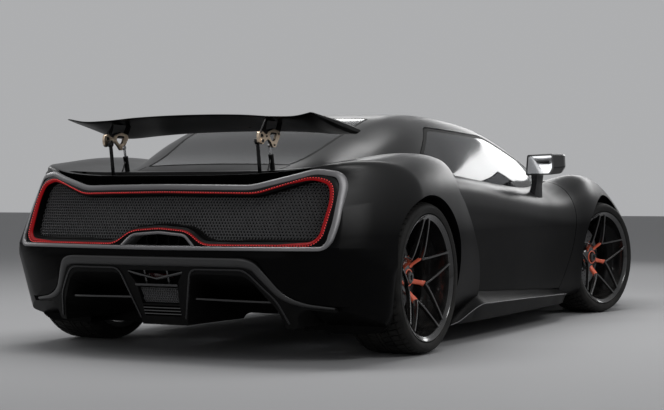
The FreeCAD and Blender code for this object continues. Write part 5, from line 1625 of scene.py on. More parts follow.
def make_upright(width, dish, rotor_radius, caliper_at):
    """The upright with its steering arm, and the caliper that it carries over the disc."""
    back, face, inside = disc_faces(width, dish)
    outer, foot = rotor_radius + 29, 134
    shoulder = (outer + foot - 2) / 2
    rings = []
    for k, t in enumerate(np.radians(np.linspace(-30, 30, 13) + caliper_at)):
        end = 1 - 0.06 * (abs(k - 6) / 6) ** 4
        profile = [(face + 20, foot), (face + 21, shoulder), (face + 15, outer - 5), (face + 4, outer * end),
                   (inside - 4, outer * end), (inside - 15, outer - 5), (inside - 20, shoulder), (inside - 20, foot),
                   (inside - 6, foot), (inside - 6, rotor_radius + 6), (face + 6, rotor_radius + 6), (face + 6, foot)]
        rings.append([(r * math.sin(t), y, r * math.cos(t)) for y, r in profile])
    caliper = ring_solid("caliper", rings)
    near_y, end_y = inside - 22, inside - 46
    middle = (near_y + end_y) / 2
    carrier = round_boss("carrier", 0, 0, 57, end_y + 1, near_y + 13, 4, 64)
    stub = round_boss("stub", 0, 0, 25.5, end_y + 2, back + hub_depth - 15, 2, 48)
    upright = slab("upright", [(-29, -128), (-18, -134), (18, -134), (29, -128), (46, 0), (29, 128), (18, 134),
                               (-18, 134), (-29, 128), (-46, 0)], end_y + 1, near_y - 1, 3)
    ears = []
    for t in (-18, 18):
        ears.append(limb("ear", [(50 + (outer - 64) * k, 0, middle, 22 - 6 * k, 20) for k in (0, 0.5, 1)]))
        ears[-1].data.transform(Matrix.Rotation(math.radians(caliper_at + t), 4, "Y"))
    link = slab("link", [(0, -52), (-112, -50), (-124, -40), (-112, -30), (0, -28)], middle - 11, middle + 11, 2)
    pins = [tube("pin", [(0, middle, s * 120), (0, middle, s * 150), (0, middle, s * 170)], 9) for s in (-1, 1)]
    return joined("upright", [carrier, stub, upright, link] + ears + pins), caliper


# %% Place the four corners
# Columns: the axle's x, half track, tyre radius, tyre width, rim radius, dish, disc radius and the caliper's angle.
corner_sizes = {"front": (front_axle, 845, front_tyre_radius, 255, 285, 90, 190, 250),
                "rear": (rear_axle, 853, rear_tyre_radius, 290, 295, 105, 195, 90)}
steering_angle = 14.0
for end, (axle, half_track, radius, width, rim_radius, dish, rotor_radius, caliper_at) in corner_sizes.items():
    for side, sign in (("left", 1), ("right", -1)):
        where = end + "_" + side
        to_hub = Matrix.Translation(Vector((axle, half_track, radius)) * mm)
        wheel_body, steered, stood_for = "wheel_" + where, "chassis", ["knuckles_rear"] if side == "left" else []
        if end == "front":
            steered, stood_for = "steering_" + side, ["knuckle_" + where]
            pin = Vector(joints["steer_" + side]["pos_m"])
            pin.y = abs(pin.y)
            lean = Matrix.Rotation(math.radians(-steering_angle * sign), 4, "Z")
            to_hub = Matrix.Translation(pin) @ lean @ Matrix.Translation(-pin) @ to_hub
        rim, arms = make_rim(width, rim_radius, dish)
        rotor, drilled, bell = make_disc(width, dish, rotor_radius)
        tyre = make_tyre(radius, width, rim_radius)
        upright, caliper = make_upright(width, dish, rotor_radius, caliper_at)
        for obj, label, material, body, slot, stands_for in (
                (tyre, "tyre_rubber_", "tyre_rubber", wheel_body, "tyre", ["tyre_" + where]),
                (rim, "rim_spoked_", "wheel_black", wheel_body, "wheel_metal", ["rim_" + where]),
                (arms, "rim_arms_", "coral_paint", wheel_body, "wheel_metal", []),
                (rotor, "rotor_", "ceramic_disc", wheel_body, "brake_steel", ["disc_" + where]),
                (drilled, "rotor_holes_", "void_black", wheel_body, "brake_steel", []),
                (bell, "disc_bell_", "bright_steel", wheel_body, "brake_steel", []),
                (upright, "upright_", "cast_grey", steered, "cast_metal", stood_for),
                (caliper, "caliper_", "gloss_black", steered, "dark_steel", [])):
            obj.name = label + where
            obj.data.transform(to_hub)
            if side == "right":
                flipped(obj, (0, 1, 0))
            dress(smooth(obj, 34), material, body, slot, *stands_for)
print("tyre:", len(tyre.data.polygons), "faces, rim:", len(rim.data.polygons))
# %% [markdown]
# ## Side skirts
# Below the door the body spreads into a wedge, whose sharp lower edge runs close to the road. Its rear end fades
# out in a long diagonal under the blade. It is lofted from a few sections, since no two of them are alike.

# %% The wedge under each door
# Columns: x, how far out the crease stands, and the heights of the crease and of the top.
skirt_table = from_axle(rear_axle, [
    (404, 922, 98, 112), (480, 938, 112, 142), (580, 950, 144, 188), (680, 959, 172, 226), (740, 962, 182, 246),
    (840, 962, 181, 240), (1340, 958, 172, 216), (1840, 950, 160, 192), (2040, 944, 155, 180), (2130, 926, 150, 170),
    (2200, 902, 146, 160)])


def skirt():
    inner, layers = 762, []
    for x in np.linspace(skirt_table[0][0], skirt_table[-1][0], 90):
        out, crease, top = smooth_rows(skirt_table, [x])[0, 1:]
        low = min(97.0, crease - 5)
        layers.append((x, [(inner, low), (out - 30, low), (out - 22, low + 3), (out - 4, crease - 4), (out, crease),
                           (out - 3, crease + 4), (889, top - 3), (882, top), (inner, top)]))
    return layered("side_skirt_pair", "yz", layers)


# A thin grey tube along the skirt's crease: a painted highlight on its sharp edge.
def skirt_painted_highlight():
    stations = np.linspace(skirt_table[0][0] + 10, skirt_table[-1][0] - 90, 80)
    return tube("skirt_edge_pair", [(x, *smooth_rows(skirt_table, [x])[0, 1:3]) for x in stations], 1.8, sides=10)


skirts = both_wings(skirt)
dress(smooth(skirts, 30), "satin_paint", "chassis", "body_paint")
dress(smooth(both_wings(skirt_painted_highlight), 60), "lip_grey", "chassis", "grey_trim")
sill_pair = joined("sill_pair", sills)
dress(smooth(sill_pair), "satin_paint", "chassis", "body_paint", "side_skirts")

# %% [markdown]
# ## Door mirrors
# Each mirror is a wedge of gloss black on a faceted stalk. The glass sits a little inside its frame, so that the
# edge shades it.

# %% Mirror head, stalk and glass
# Columns: x from the glass, then the least and greatest y, and the lower and upper z.
mirror_back, mirror_splay = front_axle - 985, 0.10
head_table = [(0, 790, 950, 836, 962), (10, 789, 958, 836, 962), (44, 790, 1001, 842, 960), (66, 793, 1003, 846, 957),
              (86, 802, 965, 856, 949), (97, 812, 925, 866, 940), (100, 820, 905, 874, 932)]


def splayed(y, z):
    """How far forward the glass stands at a place: it looks a little outwards and upwards."""
    return mirror_splay * (y - 790) + 0.02 * (z - 836)


def mirror_plate(name, outline, radius, steps):
    """A flat piece or a pocket along the leaning glass, from its two distances behind and before it."""
    return ring_solid(name, [[(mirror_back + splayed(y, z) + step, y, z) for y, z in filleted(outline, radius, 6)]
                             for step in steps])


def mirror_head():
    rings = []
    for step, y0, y1, z0, z1 in head_table:
        outline = filleted([(y0, z0 + 2), (y1 - 22, z0 + 6), (y1, z0 + 40), (y1 - 4, z1), (y0 + 8, z1 - 6)], 12, 6)
        rings.append([(mirror_back + step + splayed(y, z) * (1 - step / 100), y, z) for y, z in outline])
    head = tool(ring_solid("head", rings))
    opening = [(797, 846), (926, 849), (943, 879), (940, 953), (804, 948)]
    return combined("mirror_head", head, cut=[tool(mirror_plate("pocket", opening, 9, (-30, 4)))])


def mirror_stalk():
    """A faceted wedge up from the door. Stations: its middle's place, its length along the car and its width."""
    stations = from_axle(front_axle, [(-925, 812, 672, 140, 84), (-930, 826, 720, 116, 66), (-938, 838, 784, 84, 50),
                                      (-944, 842, 838, 88, 62), (-944, 842, 850, 84, 60)])
    facets = ((-0.5, -0.3), (-0.2, -0.5), (0.3, -0.5), (0.5, 0), (0.3, 0.5), (-0.2, 0.5), (-0.5, 0.3))
    return ring_solid("mirror_stalk", [[(x + along * a, y + wide * b, z) for a, b in facets]
                                       for x, y, z, along, wide in stations])


def mirror_glass():
    return mirror_plate("mirror_glass", [(799, 848), (925, 851), (941, 880), (938, 951), (806, 946)], 8, (1.5, 5.0))


dress_sides([(mirror_head, "gloss_black", "gloss_black", "mirror_"),
             (mirror_stalk, "gloss_black", "dark_plastic", None),
             (mirror_glass, "mirror_glass", "lamp_glass", None)], "door_", 30)
# %% [markdown]
# ## Nose
# Three openings feed the radiators, behind the same honeycomb as the tail's. The plate they stand on faces
# forwards, so each mesh is grown on a mirrored plate and turned round. A carbon splitter runs under the chin.

# %% Grilles


def nose_comb(name, outline, depth, pitch):
    """Honeycomb in an opening of the nose, on a plate square to the car."""
    x = tail_end + depth
    plate = tool(layered("plate", "yz", ((x, outline), (x + 4, outline))))
    return flipped(honeycomb(name, plate, pitch, lift=0.0), (1, 0, 0))


combs, backs = [], []
for outline, depth in zip(intake_outlines, (150, 250, 250)):
    inner = grown(filleted(outline, 30), -4.0)
    combs.append(nose_comb("comb", inner, depth, 0.016))
    behind_comb, wider = nose_end - depth - 15, grown(inner, 3.0)
    backs.append(layered("back", "yz", ((behind_comb, wider), (behind_comb - 12, wider))))
front_mesh = joined("front_honeycomb", combs)
dress(front_mesh, "mesh_dark", "chassis", "dark_plastic")
# The intakes' backs are flat black without sheen: painted shade behind the mesh.
dress(joined("intake_backs", backs), "void_black", "chassis", "dark_plastic", "front_grilles")
bars = [layered("bar", "yz", [(nose_end - step, rectangle(5, 89.5, (y, 257.5))) for step in (70, 140)])
        for y in (-150, 150)]
bars.append(layered("bar", "yz", [(nose_end - step, rectangle(395, 3.5, (0, 255.5 + step * 0.04)))
                                  for step in (75, 150)]))
dress(smooth(joined("intake_bars", bars)), "gloss_black", "chassis", "dark_plastic")

# %% Splitter
splitter_half = [(2300, 0), (2300, 240), (2256, 450), (2182, 620), (2060, 770), (1880, 890), (front_axle + 440, 905)]


def splitter_plan(inset):
    half = [(x - inset, max(y - inset * 0.6, 0)) for x, y in filleted(splitter_half, 60, 5, closed=False)]
    return half + [(x, -y) for x, y in reversed(half[1:])]


splitter_body = tool(layered("splitter", "xy", [(z, splitter_plan(inset)) for z, inset in (
    (88, 14), (89, 4), (93, 0.5), (99, 0.5), (106, 4), (110, 12))]))
splitter = smooth(combined("chin_splitter", splitter_body, cut=front_arches), 40)
dress(splitter, "visible_carbon", "chassis", "gloss_black", "front_splitter")
fences = both_wings(lambda: slab("splitter_fences", [(1800, 106), (2036, 106), (2040, 122), (1990, 152), (1880, 176),
                                                     (1800, 178)], 775, 782, 1.2, 12))
dress(smooth(fences), "visible_carbon", "chassis", "gloss_black")

# %% [markdown]
# ## Headlamps
# Each lamp is a clear cover let into the wing, over a black bowl with three round projectors and a slim light
# line. The bowl's parts follow the wing's height, which is found by dropping a ray onto the core form, because
# the surface there curves both ways.

# %% Heights on the nose


def height_over(form):
    """A function that gives the height of a form's skin over a point, in millimetres, or 0 where there is none."""
    tree = BVHTree.FromPolygons([v.co for v in form.data.vertices], [p.vertices for p in form.data.polygons])

    def height(x, y):
        hit = tree.ray_cast(Vector((x * mm, y * mm, 1.5)), Vector((0, 0, -1)))[0]
        return hit.z / mm if hit else 0.0

    return height


nose_height = height_over(core)

# %% Light line, bowl and projectors
lamp_inner = filleted(grown(lamp_corners, -16), 34, 6)


def lamp_line():
    """The light line follows the lamp's edge, and is open at its rear inner corner."""
    path = even_loop(lamp_inner, 10.0)
    line = path[(path[:, 0] > front_axle + 520) | (path[:, 1] > 700)]
    steps = np.linalg.norm(np.diff(line, axis=0), axis=1)
    if steps.max() > 40:
        line = np.roll(line, -1 - int(np.argmax(steps)), 0)
    return tube("lamp_line", [(x, y, nose_height(x, y) - 14) for x, y in line], 4.2, sides=12)


def lamp_bowl():
    """A stepped tray under the cover."""
    outline = even_loop(filleted(grown(lamp_area, -3), 10), 14.0)
    middle = outline.mean(0)
    rings = []
    for share, drop in ((1.0, 12), (0.94, 20), (0.84, 22), (0.80, 29), (0.4, 30), (0.4, 33), (0.97, 33), (1.0, 24)):
        moved = middle + (outline - middle) * share
        rings.append([(x, y, nose_height(x, y) - drop) for x, y in moved])
    return ring_solid("lamp_bowl", rings, closed=True)


lamp_spots = from_axle(front_axle, [(560, 730), (640, 690), (715, 636)])


def projectors(name, parts):
    """Three round pieces square to the skin over them. parts: (radius, depth under the skin) pairs."""
    made = []
    for x, y in lamp_spots:
        base = nose_height(x, y)
        lean = np.array([nose_height(x + 20, y) - base, nose_height(x, y + 20) - base]) / 20
        made.append(ring_solid(name, [[(x + a, y + b, base - drop + lean @ (a, b)) for a, b in circle(0, 0, r, 40)]
                                      for r, drop in parts]))
    return joined(name, made)


def lamp_lenses():
    return projectors("lamp_lens", [(21, 27), (21, 21), (16, 16), (8, 13.5), (1, 13)])


def lamp_cups():
    return projectors("lamp_cup", [(30, 28), (30, 17), (28, 14), (25, 14), (23, 20), (23, 28)])


dress_sides([(lamp_line, "white_glow", "lamp_glass", None), (lamp_bowl, "gloss_black", "gloss_black", None),
             (lamp_lenses, "lamp_lens", "lamp_glass", None), (lamp_cups, "bright_steel", "cast_metal", None)],
            "chassis", 40)

# %% Tow eye's plug
plug = tube("tow_plug", [(nose_end - 96, *tow_place), (nose_end - 90, *tow_place)], 22, sides=40)
dress(smooth(plug), "moulded_black", "chassis", "dark_plastic")
# %% [markdown]
# ## Seats
# Each seat is a thin carbon bucket with padded leather in it. The bucket is one lofted ribbon: a U-shaped section
# runs along the seat's profile. The pads start as slightly small closed forms and are blown up by a short cloth
# simulation, so that they bulge between their seams as stuffed leather does. The sewn channels are pressed in
# afterwards, because remeshing would wipe them out.

# %% The seat's profile
seat_x, seat_y = rear_axle + 1340.0, 355.0
seat_line = [(232, 250), (120, 238), (0, 228), (-120, 216), (-205, 208), (-258, 232), (-296, 310), (-342, 430),
             (-390, 560), (-438, 690), (-474, 790), (-496, 880), (-508, 962)]
line_rows = [(k / (len(seat_line) - 1), seat_x + x, z) for k, (x, z) in enumerate(seat_line)]


def seat_frame(s):
    """Place and forward-facing normal on the seat's line at a share s of its length, front edge to head."""
    here, after, before = (smooth_rows(line_rows, [np.clip(s + step, 0, 1)])[0, 1:] for step in (0, 0.01, -0.01))
    along = after - before
    along /= np.linalg.norm(along)
    return here, np.array([along[1], -along[0]])


def seat_ring(s, section):
    """A ring from (sideways, out from the line) pairs at station s."""
    here, normal = seat_frame(s)
    return [(here[0] + normal[0] * n, seat_y + y, here[1] + normal[1] * n) for y, n in section]


def bucket():
    """The carbon shell: a flat back with a raised, rolled edge on each side, whose height follows the body."""
    rings = []
    for s in np.linspace(0, 1, 49):
        w = float(np.interp(s, (0, 0.1, 0.75, 0.86, 1.0), (180, 200, 200, 150, 112)))
        h = float(np.interp(s, (0, 0.12, 0.36, 0.5, 0.74, 0.86, 1.0), (26, 56, 118, 84, 96, 44, 24)))
        half = [(0, 0), (w - 34, 2), (w - 16, 14), (w - 9, 34), (w - 6, h - 3), (w - 2, h), (w + 2, h - 3),
                (w + 3, 20), (w - 4, -4), (w - 22, -11), (0, -11)]
        rings.append(seat_ring(s, half + [(-y, n) for y, n in reversed(half[1:-1])]))
    return ring_solid("seat_bucket", rings)


# %% Pads before they are blown up


def pad(s0, s1, y0, y1, low, high, crown, stations):
    """A pad from station s0 to s1, between y0 and y1, from low to high off the line, with rounded ends."""
    rings = []
    for t in np.linspace(0, 1, stations):
        end = math.sqrt(max(1 - (2 * t - 1) ** 8, 0.02))
        middle, half = (y0 + y1) / 2, (y1 - y0) / 2 * (0.93 + 0.07 * end)
        top = low + (high - low) * (0.35 + 0.65 * end)
        left, right = middle - half, middle + half
        section = filleted([(left, low), (right, low), (right, top - 8), (middle, top + crown), (left, top - 8)], 14, 4)
        rings.append(seat_ring(s0 + (s1 - s0) * t, section))
    return ring_solid("pad", rings)


def seat_pads():
    pads = [pad(0.012, 0.375, -150, 150, 3, 36, 5, 20), pad(0.455, 0.775, -146, 146, 3, 34, 6, 20),
            pad(0.865, 0.985, -84, 84, 3, 34, 6, 10)]
    for sign in (-1, 1):
        inner, outer = sorted((sign * 156, sign * 187))
        pads.append(pad(0.03, 0.40, inner, outer, 12, 66, 7, 18))
        pads.append(pad(0.46, 0.78, inner, outer, 12, 74, 7, 16))
    return joined("seat_pads", pads)


cloth_frames = 20


def blown_up(obj, voxel=6.5, cap=7.0, pressure=4.0):
    """The piece remeshed, blown up as cloth under pressure, and held to within cap of where it was."""
    remesh = obj.modifiers.new("remesh", "REMESH")
    remesh.mode, remesh.voxel_size = "VOXEL", voxel * mm
    base = evaluated_mesh(obj)
    obj.modifiers.clear()
    obj.data = base
    start = np.array([v.co for v in base.vertices])
    cloth = obj.modifiers.new("cloth", "CLOTH")
    cloth.settings.use_pressure = True
    cloth.settings.uniform_pressure_force = pressure
    cloth.settings.effector_weights.gravity = 0.0
    cloth.settings.quality = 4
    cloth.point_cache.frame_start, cloth.point_cache.frame_end = 1, cloth_frames
    for step in range(1, cloth_frames + 1):
        scene.frame_set(step)
    swollen = np.array([v.co for v in evaluated_mesh(obj).vertices])
    obj.modifiers.clear()
    scene.frame_set(1)
    move = swollen - start
    length = np.linalg.norm(move, axis=1)[:, None]
    start = start + move * np.minimum(1.0, cap * mm / np.maximum(length, 1e-9))
    base.vertices.foreach_set("co", start.ravel())
    base.update()
    return obj


def sewn(obj, pitch=52.0, depth=3.2, width=5.0):
    """Presses channels across the middle panels, in even steps along the seat's line, and a seam down each side."""
    stations = np.linspace(0, 1, 200)
    places = np.array([seat_frame(s)[0] for s in stations])
    points = np.array([v.co for v in obj.data.vertices]) / mm
    normals = np.array([v.normal for v in obj.data.vertices])
    which = np.array([np.argmin((places[:, 0] - x) ** 2 + (places[:, 1] - z) ** 2) for x, _, z in points])
    run = np.concatenate([[0], np.cumsum(np.linalg.norm(np.diff(places, axis=0), axis=1))])
    off = (run[which] + pitch / 2) % pitch - pitch / 2
    aside = abs(abs(points[:, 1]) - seat_y)
    middle = (aside < 138) & (stations[which] < 0.8)
    press = depth * np.exp(-(off / width) ** 2) * middle
    seam = 2.4 * np.exp(-((aside - 104) / 4.0) ** 2) * middle
    points -= normals * (press + seam)[:, None]
    obj.data.vertices.foreach_set("co", (points * mm).ravel())
    obj.data.update()
    return obj


bucket_left = smooth(bucket(), 40)
pads_left = sewn(blown_up(seat_pads()))
pads_left.data.shade_smooth()
bucket_right, pads_right = mirrored(bucket_left, "seat_bucket_right"), mirrored(pads_left, "seat_pads_right")
bucket_left.name, pads_left.name = "seat_bucket_left", "seat_pads_left"
dress(bucket_left, "visible_carbon", "chassis", "gloss_black", "seats")
dress(bucket_right, "visible_carbon", "chassis", "gloss_black", "seats")
for pads in (pads_left, pads_right):
    dress(pads, "cabin_leather", "chassis", "interior_leather")
print("seat pads:", len(pads_left.data.polygons), "faces")

# %% Piping and seat rails
piping = [tube("piping", [seat_ring(s, [(side_y, 40)])[0] for s in np.linspace(s0, s1, 30)], 2.2, sides=8)
          for side_y in (-153, 153) for s0, s1 in ((0.03, 0.37), (0.47, 0.77))]
piping_left = joined("seat_piping_left", piping)
dress(piping_left, "red_thread", "chassis", "interior_leather")
dress(mirrored(piping_left, "seat_piping_right"), "red_thread", "chassis", "interior_leather")
rail_outline = [(seat_x - 260, 151), (seat_x + 170, 151), (seat_x + 170, 168), (seat_x + 140, 176), (seat_x - 240, 176),
                (seat_x - 260, 168)]
foot_outline = [(seat_x - 180, 174), (seat_x + 120, 174), (seat_x + 140, 222), (seat_x - 160, 202)]


def seat_rails():
    return joined("seat_rails", [slab(name, outline, y - half, y + half, *edge) for y in (seat_y - 140, seat_y + 140)
                                 for name, outline, half, edge in (("rail", rail_outline, 14, (2, 4)),
                                                                   ("foot", foot_outline, 5, (1, 6)))])


dress(smooth(both_wings(seat_rails)), "dark_steel", "chassis", "dark_steel")

# %% [markdown]
# ## Dashboard and steering wheel
# The dashboard is a low shelf wrapped in suede, with a hooded instrument screen in front of the driver, a second
# screen on the centre stack and round vents. It is lofted across the car, one section every few centimetres.

# %% Dashboard
dash_x = front_axle - 640.0


def dash_section(y):
    """A section across the dashboard's length at y."""
    hood = math.exp(-((y - seat_y) / 150.0) ** 4)
    swell = math.cos(min(abs(y) / 715, 1.0) * math.pi / 2) ** 0.5
    return [(dash_x + 4, 602), (dash_x - 6 - 6 * swell, 640), (dash_x - 8 - 26 * hood, 690 + 24 * hood),
            (dash_x + 18 - 30 * hood, 722 + 34 * hood), (dash_x + 66, 752 + 22 * hood), (dash_x + 142, 770 - 4 * hood),
            (dash_x + 143, 562), (dash_x + 60, 590)]


dash_body = tool(layered("dash", "xz", [(y, soft_loop(dash_section(y), 2)) for y in np.linspace(-713, 713, 96)]))
dash = combined("dash_shelf", dash_body, cut=[house_skin])
dress(smooth(dash, 50), "cabin_suede", "chassis", "interior_leather", "dashboard")
console_side = [(rear_axle + 1090, 331), (dash_x - 120, 331), (dash_x + 40, 420), (dash_x + 60, 600),
                (dash_x + 10, 640), (dash_x - 56, 480), (rear_axle + 1200, 402)]
console = smooth(slab("centre_console", console_side, -98, 98, 14, 30), 50)
dress(console, "cabin_leather", "chassis", "interior_leather", "dashboard")


def tilted_panel(name, x, y, z, wide, tall, thick, lean, radius=10):
    """A flat panel facing the seats, leaning back by lean degrees, with rounded corners."""
    outline = filleted(rectangle(wide / 2, tall / 2), radius, 5)
    c, s = math.cos(math.radians(lean)), math.sin(math.radians(lean))
    return ring_solid(name, [[(x + push * c + b * s, y + a * share, z + b * c - push * s) for a, b in outline]
                             for push, share in ((0, 1), (1.5 - thick, 1), (-thick, 1 - 1.5 / wide))])


screens = joined("screens", [tilted_panel("screen", dash_x - 34, seat_y, 702, 250, 74, 6, 12),
                             tilted_panel("screen", dash_x - 8, 0, 655, 180, 110, 10, 10),
                             tilted_panel("screen", dash_x - 12, -430, 690, 190, 36, 5, 12)])
dress(smooth(screens, 40), "screen_glass", "chassis", "gloss_black")
vents, vent_z, vent_bore = [], 668, 27
for y in (-640, -250, 130, 640):
    vents.append(layered("vent", "yz", [(dash_x + x, circle(y, vent_z, r, 36)) for x, r in (
        (8, 34), (-16, 34), (-19, 31), (-17, vent_bore), (4, 26))]))
    for step in (-18, -9, 0, 9, 18):
        fin = rectangle(math.sqrt(vent_bore**2 - step**2), 1, (y, vent_z + step))
        vents.append(layered("fin", "yz", ((dash_x - 14, fin), (dash_x, fin))))
dress(smooth(joined("dash_vents", vents), 40), "bright_steel", "chassis", "cast_metal")
console_parts = [tilted_panel("keys", dash_x - 92, 0, 430, 120, 60, 5, 58),
                 round_boss("dial", dash_x - 190, 352, 24, -24, 24, 3)]
dress(smooth(joined("console_parts", console_parts), 40), "gloss_black", "chassis", "gloss_black")

# %% Steering wheel: a suede rim with a flat foot, three spokes and two paddles
wheel_middle = Vector((dash_x - 190, seat_y, 640)) * mm
wheel_turn = Matrix.Translation(wheel_middle) @ Matrix.Rotation(math.radians(20), 4, "Y")


def on_column(obj):
    """Moves a piece from its own plane (x forwards along the column) to the column."""
    obj.data.transform(wheel_turn)
    return obj


def hand_ring(t, grip):
    """A round section of the rim at angle t. Below, the rim runs straight across."""
    reach, foot = 165, 0.86
    radius = reach * min(1, foot / max(-math.cos(t), foot))
    return [(grip * math.sin(u), radius * math.sin(t) * (1 + grip * math.cos(u) / reach),
             radius * math.cos(t) * (1 + grip * math.cos(u) / reach)) for u in full_turn(16)]


hand_rim = ring_solid("hand_rim", [hand_ring(t, 14) for t in full_turn(96)], closed=True)
dress(smooth(on_column(hand_rim), 60), "cabin_suede", "chassis", "interior_leather", "steering_wheel")


def hand_spoke(a, b, wide, deep=14):
    a, b = np.array(a, float), np.array(b, float)
    run = (b - a) / np.linalg.norm(b - a)
    side = np.array([-run[1], run[0]])
    section = ((-1, 4), (-0.6, -2), (0.6, -2), (1, 4), (0.6, deep), (-0.6, deep))
    return ring_solid("spoke", [[(x, *(a + (b - a) * t + side * s * wide / 2 * share)) for s, x in section]
                                for t, share in ((0, 1.3), (0.5, 0.9), (1, 1.2))])


hand_parts = [hand_spoke((30, 6), (156, 14), 30), hand_spoke((-30, 6), (-156, 14), 30),
              hand_spoke((0, -30), (0, -138), 34)]
hand_parts.append(ring_solid("hub", [[(x, 1.15 * r * math.sin(t), r * math.cos(t)) for t in full_turn(48)] for x, r in (
    (-8, 20), (-6, 36), (2, 46), (30, 46), (60, 30), (186, 24))]))
hand_frame = joined("hand_wheel_frame", hand_parts)
dress(smooth(on_column(hand_frame), 35), "visible_carbon", "chassis", "gloss_black")
mark = ring_solid("hand_wheel_mark", [hand_ring(t, 14.6) for t in np.linspace(-0.055, 0.055, 5)])
dress(smooth(on_column(mark), 60), "coral_paint", "chassis", "interior_leather")
paddles = []
for sign in (-1, 1):
    outline = filleted([(sign * y, z) for y, z in ((60, -28), (128, -18), (142, 30), (118, 62), (66, 30))], 10, 4)
    paddles.append(layered("paddle", "yz", ((26, outline), (30, outline))))
dress(smooth(on_column(joined("shift_paddles", paddles))), "bright_steel", "chassis", "cast_metal")

# %% Door cards and pulls
card_area = filleted([(rear_axle + 600, 560), (rear_axle + 520, 700), (rear_axle + 480, 735), (door_front - 40, 735),
                      (door_front - 40, 600), (door_front - 90, 420), (rear_axle + 720, 420)], 30)
armrest_outline = [(rear_axle + 900, 560), (door_front - 250, 545), (door_front - 200, 580), (door_front - 250, 600),
                   (rear_axle + 900, 606), (rear_axle + 870, 585)]


def door_card():
    card = layered("card", "xz", [(y, grown(card_area, inset)) for y, inset in ((736, 0), (729, 0), (726, -4))])
    return joined("door_card", [card, slab("arm", armrest_outline, 690, 729, 8, 12)])


def door_pull():
    path = from_axle(rear_axle, [(960, 730, 640), (960, 714, 640), (970, 692, 646), (1060, 684, 650),
                                 (1150, 692, 646), (1160, 714, 640), (1160, 730, 640)])
    return tube("door_pull", path, 8, sides=16)


dress_sides([(door_card, "cabin_leather", "interior_leather", None),
             (door_pull, "bright_steel", "cast_metal", None)], "door_", 40)
# %% [markdown]
# ## Engine bay and chassis
# Under the rear glass stands the engine: a plenum of carbon on top, eight runners down to the heads and two cam
# covers in the wheel arms' coral. The block, the tub, the frame and the arms keep the CAD model's own solids, and
# only get their finishes here.

# %% Engine dressing
plenum_line = rectangle(135, 128, (rear_axle + 565, 0))
plenum = layered("engine_plenum", "xy", [(z, grown(filleted(plenum_line, 40), inset)) for z, inset in (
    (740, 0), (756, 0), (764, -5), (768, -14), (766, -40), (766, -44), (769, -50))])
dress(smooth(plenum, 50), "visible_carbon", "chassis", "gloss_black")
covers, runners = [], []
for sign in (-1, 1):
    outline = filleted([(rear_axle + 272, sign * 160), (rear_axle + 718, sign * 160), (rear_axle + 718, sign * 262),
                        (rear_axle + 272, sign * 262)], 24)
    covers.append(layered("cover", "xy", [(z, grown(outline, inset)) for z, inset in (
        (696, 0), (716, 0), (723, -3), (726, -10))]))
    for k in range(7):
        rib = rectangle(7, 38, (rear_axle + 310 + k * 62, sign * 211))
        covers.append(layered("rib", "xy", ((725, rib), (730, rib))))
    for k in range(4):
        path = [(rear_axle + 470 + k * 64, sign * (112 + 62 * t), 752 - 4 * math.sin(t * math.pi / 2) - 46 * t**2)
                for t in np.linspace(0, 1, 12)]
        runners.append(tube("runner", path, 17, sides=24))
dress(smooth(joined("cam_covers", covers), 40), "coral_paint", "chassis", "cast_metal")
dress(smooth(joined("intake_runners", runners), 60), "cast_grey", "chassis", "cast_metal")


# %% Springs and dampers
def coil_over(top, foot, turns=6.5):
    """A spring, and the pieces of the damper that it is wound round."""
    top, foot = np.array(top, float), np.array(foot, float)
    along = (top - foot) / np.linalg.norm(top - foot)
    side = np.cross(along, [1.0, 0, 0])
    side /= np.linalg.norm(side)
    up = np.cross(side, along)
    t = np.linspace(0, 1, 150)
    spin = t * turns * 2 * math.pi
    core_line = foot + (top - foot) * (0.34 + 0.58 * t)[:, None]
    coil = core_line + 40 * (np.cos(spin)[:, None] * side + np.sin(spin)[:, None] * up)
    spring = tube("spring", coil, 5.5, sides=12)
    body = [tube(name, [foot + (top - foot) * share for share in (low, high)], radius) for name, low, high, radius in (
        ("damper", 0, 0.55, 22), ("rod", 0.5, 1, 10), ("seat", 0.31, 0.33, 48), ("seat", 0.93, 0.95, 46))]
    return spring, body


springs, dampers = [], []
for axle, z_top, inner, outer in ((front_axle, 560, 500, 610), (rear_axle, 600, 470, 590)):
    for sign in (-1, 1):
        spring, body = coil_over((axle + 10, sign * inner, z_top), (axle + 30, sign * outer, 215))
        springs.append(spring)
        dampers += body
dress(smooth(joined("coil_springs", springs), 60), "coral_paint", "chassis", "cast_metal")
dress(smooth(joined("dampers", dampers), 40), "dark_steel", "chassis", "dark_steel")

# %% Finishes of the solids that stay as the CAD model made them
for name, material, slot in (("tub", "visible_carbon", "gloss_black"), ("engine", "cast_grey", "cast_metal"),
                             ("rear_subframe", "dark_steel", "dark_steel"),
                             ("suspension_arms", "dark_steel", "dark_steel")):
    solid = bpy.data.objects[name]
    solid.data.materials.clear()
    solid.data.materials.append(finishes[material])

# %% Wiper
glass_height = height_over(house)


def over_screen(start, end, lift, count):
    """A line over the glass, or over the bonnet where that is higher."""
    start, end = np.array(start), np.array(end)
    return [(x, y, max(glass_height(x, y), nose_height(x, y)) + lift)
            for x, y in (start + (end - start) * t for t in np.linspace(0, 1, count))]


arm_root, arm_tip = (front_axle + 62, 60), (front_axle - 96, -70)
wiper = [tube("arm", over_screen(arm_root, arm_tip, 20, 24), 6, sides=12),
         tube("blade", over_screen((front_axle - 30, -400), (front_axle - 165, 270), 11, 40), 6.5, sides=10),
         tube("pivot", [over_screen(arm_root, arm_root, lift, 1)[0] for lift in (-8, 26)], 15, sides=28)]
dress(smooth(joined("wiper", wiper), 40), "moulded_black", "chassis", "dark_plastic")
# %% [markdown]
# ## Camera, light and floor
# The camera looks from behind and a little to the right, from the height of a standing person's waist. The long
# lens keeps the lines calm. The floor is plain and pale, and the light is a big soft box overhead with one on
# each side, at the level where a colour looks as it is written. Long boxes ahead and behind are seen mostly as
# sheen on the shoulders, in the side glass and in the mirrors.

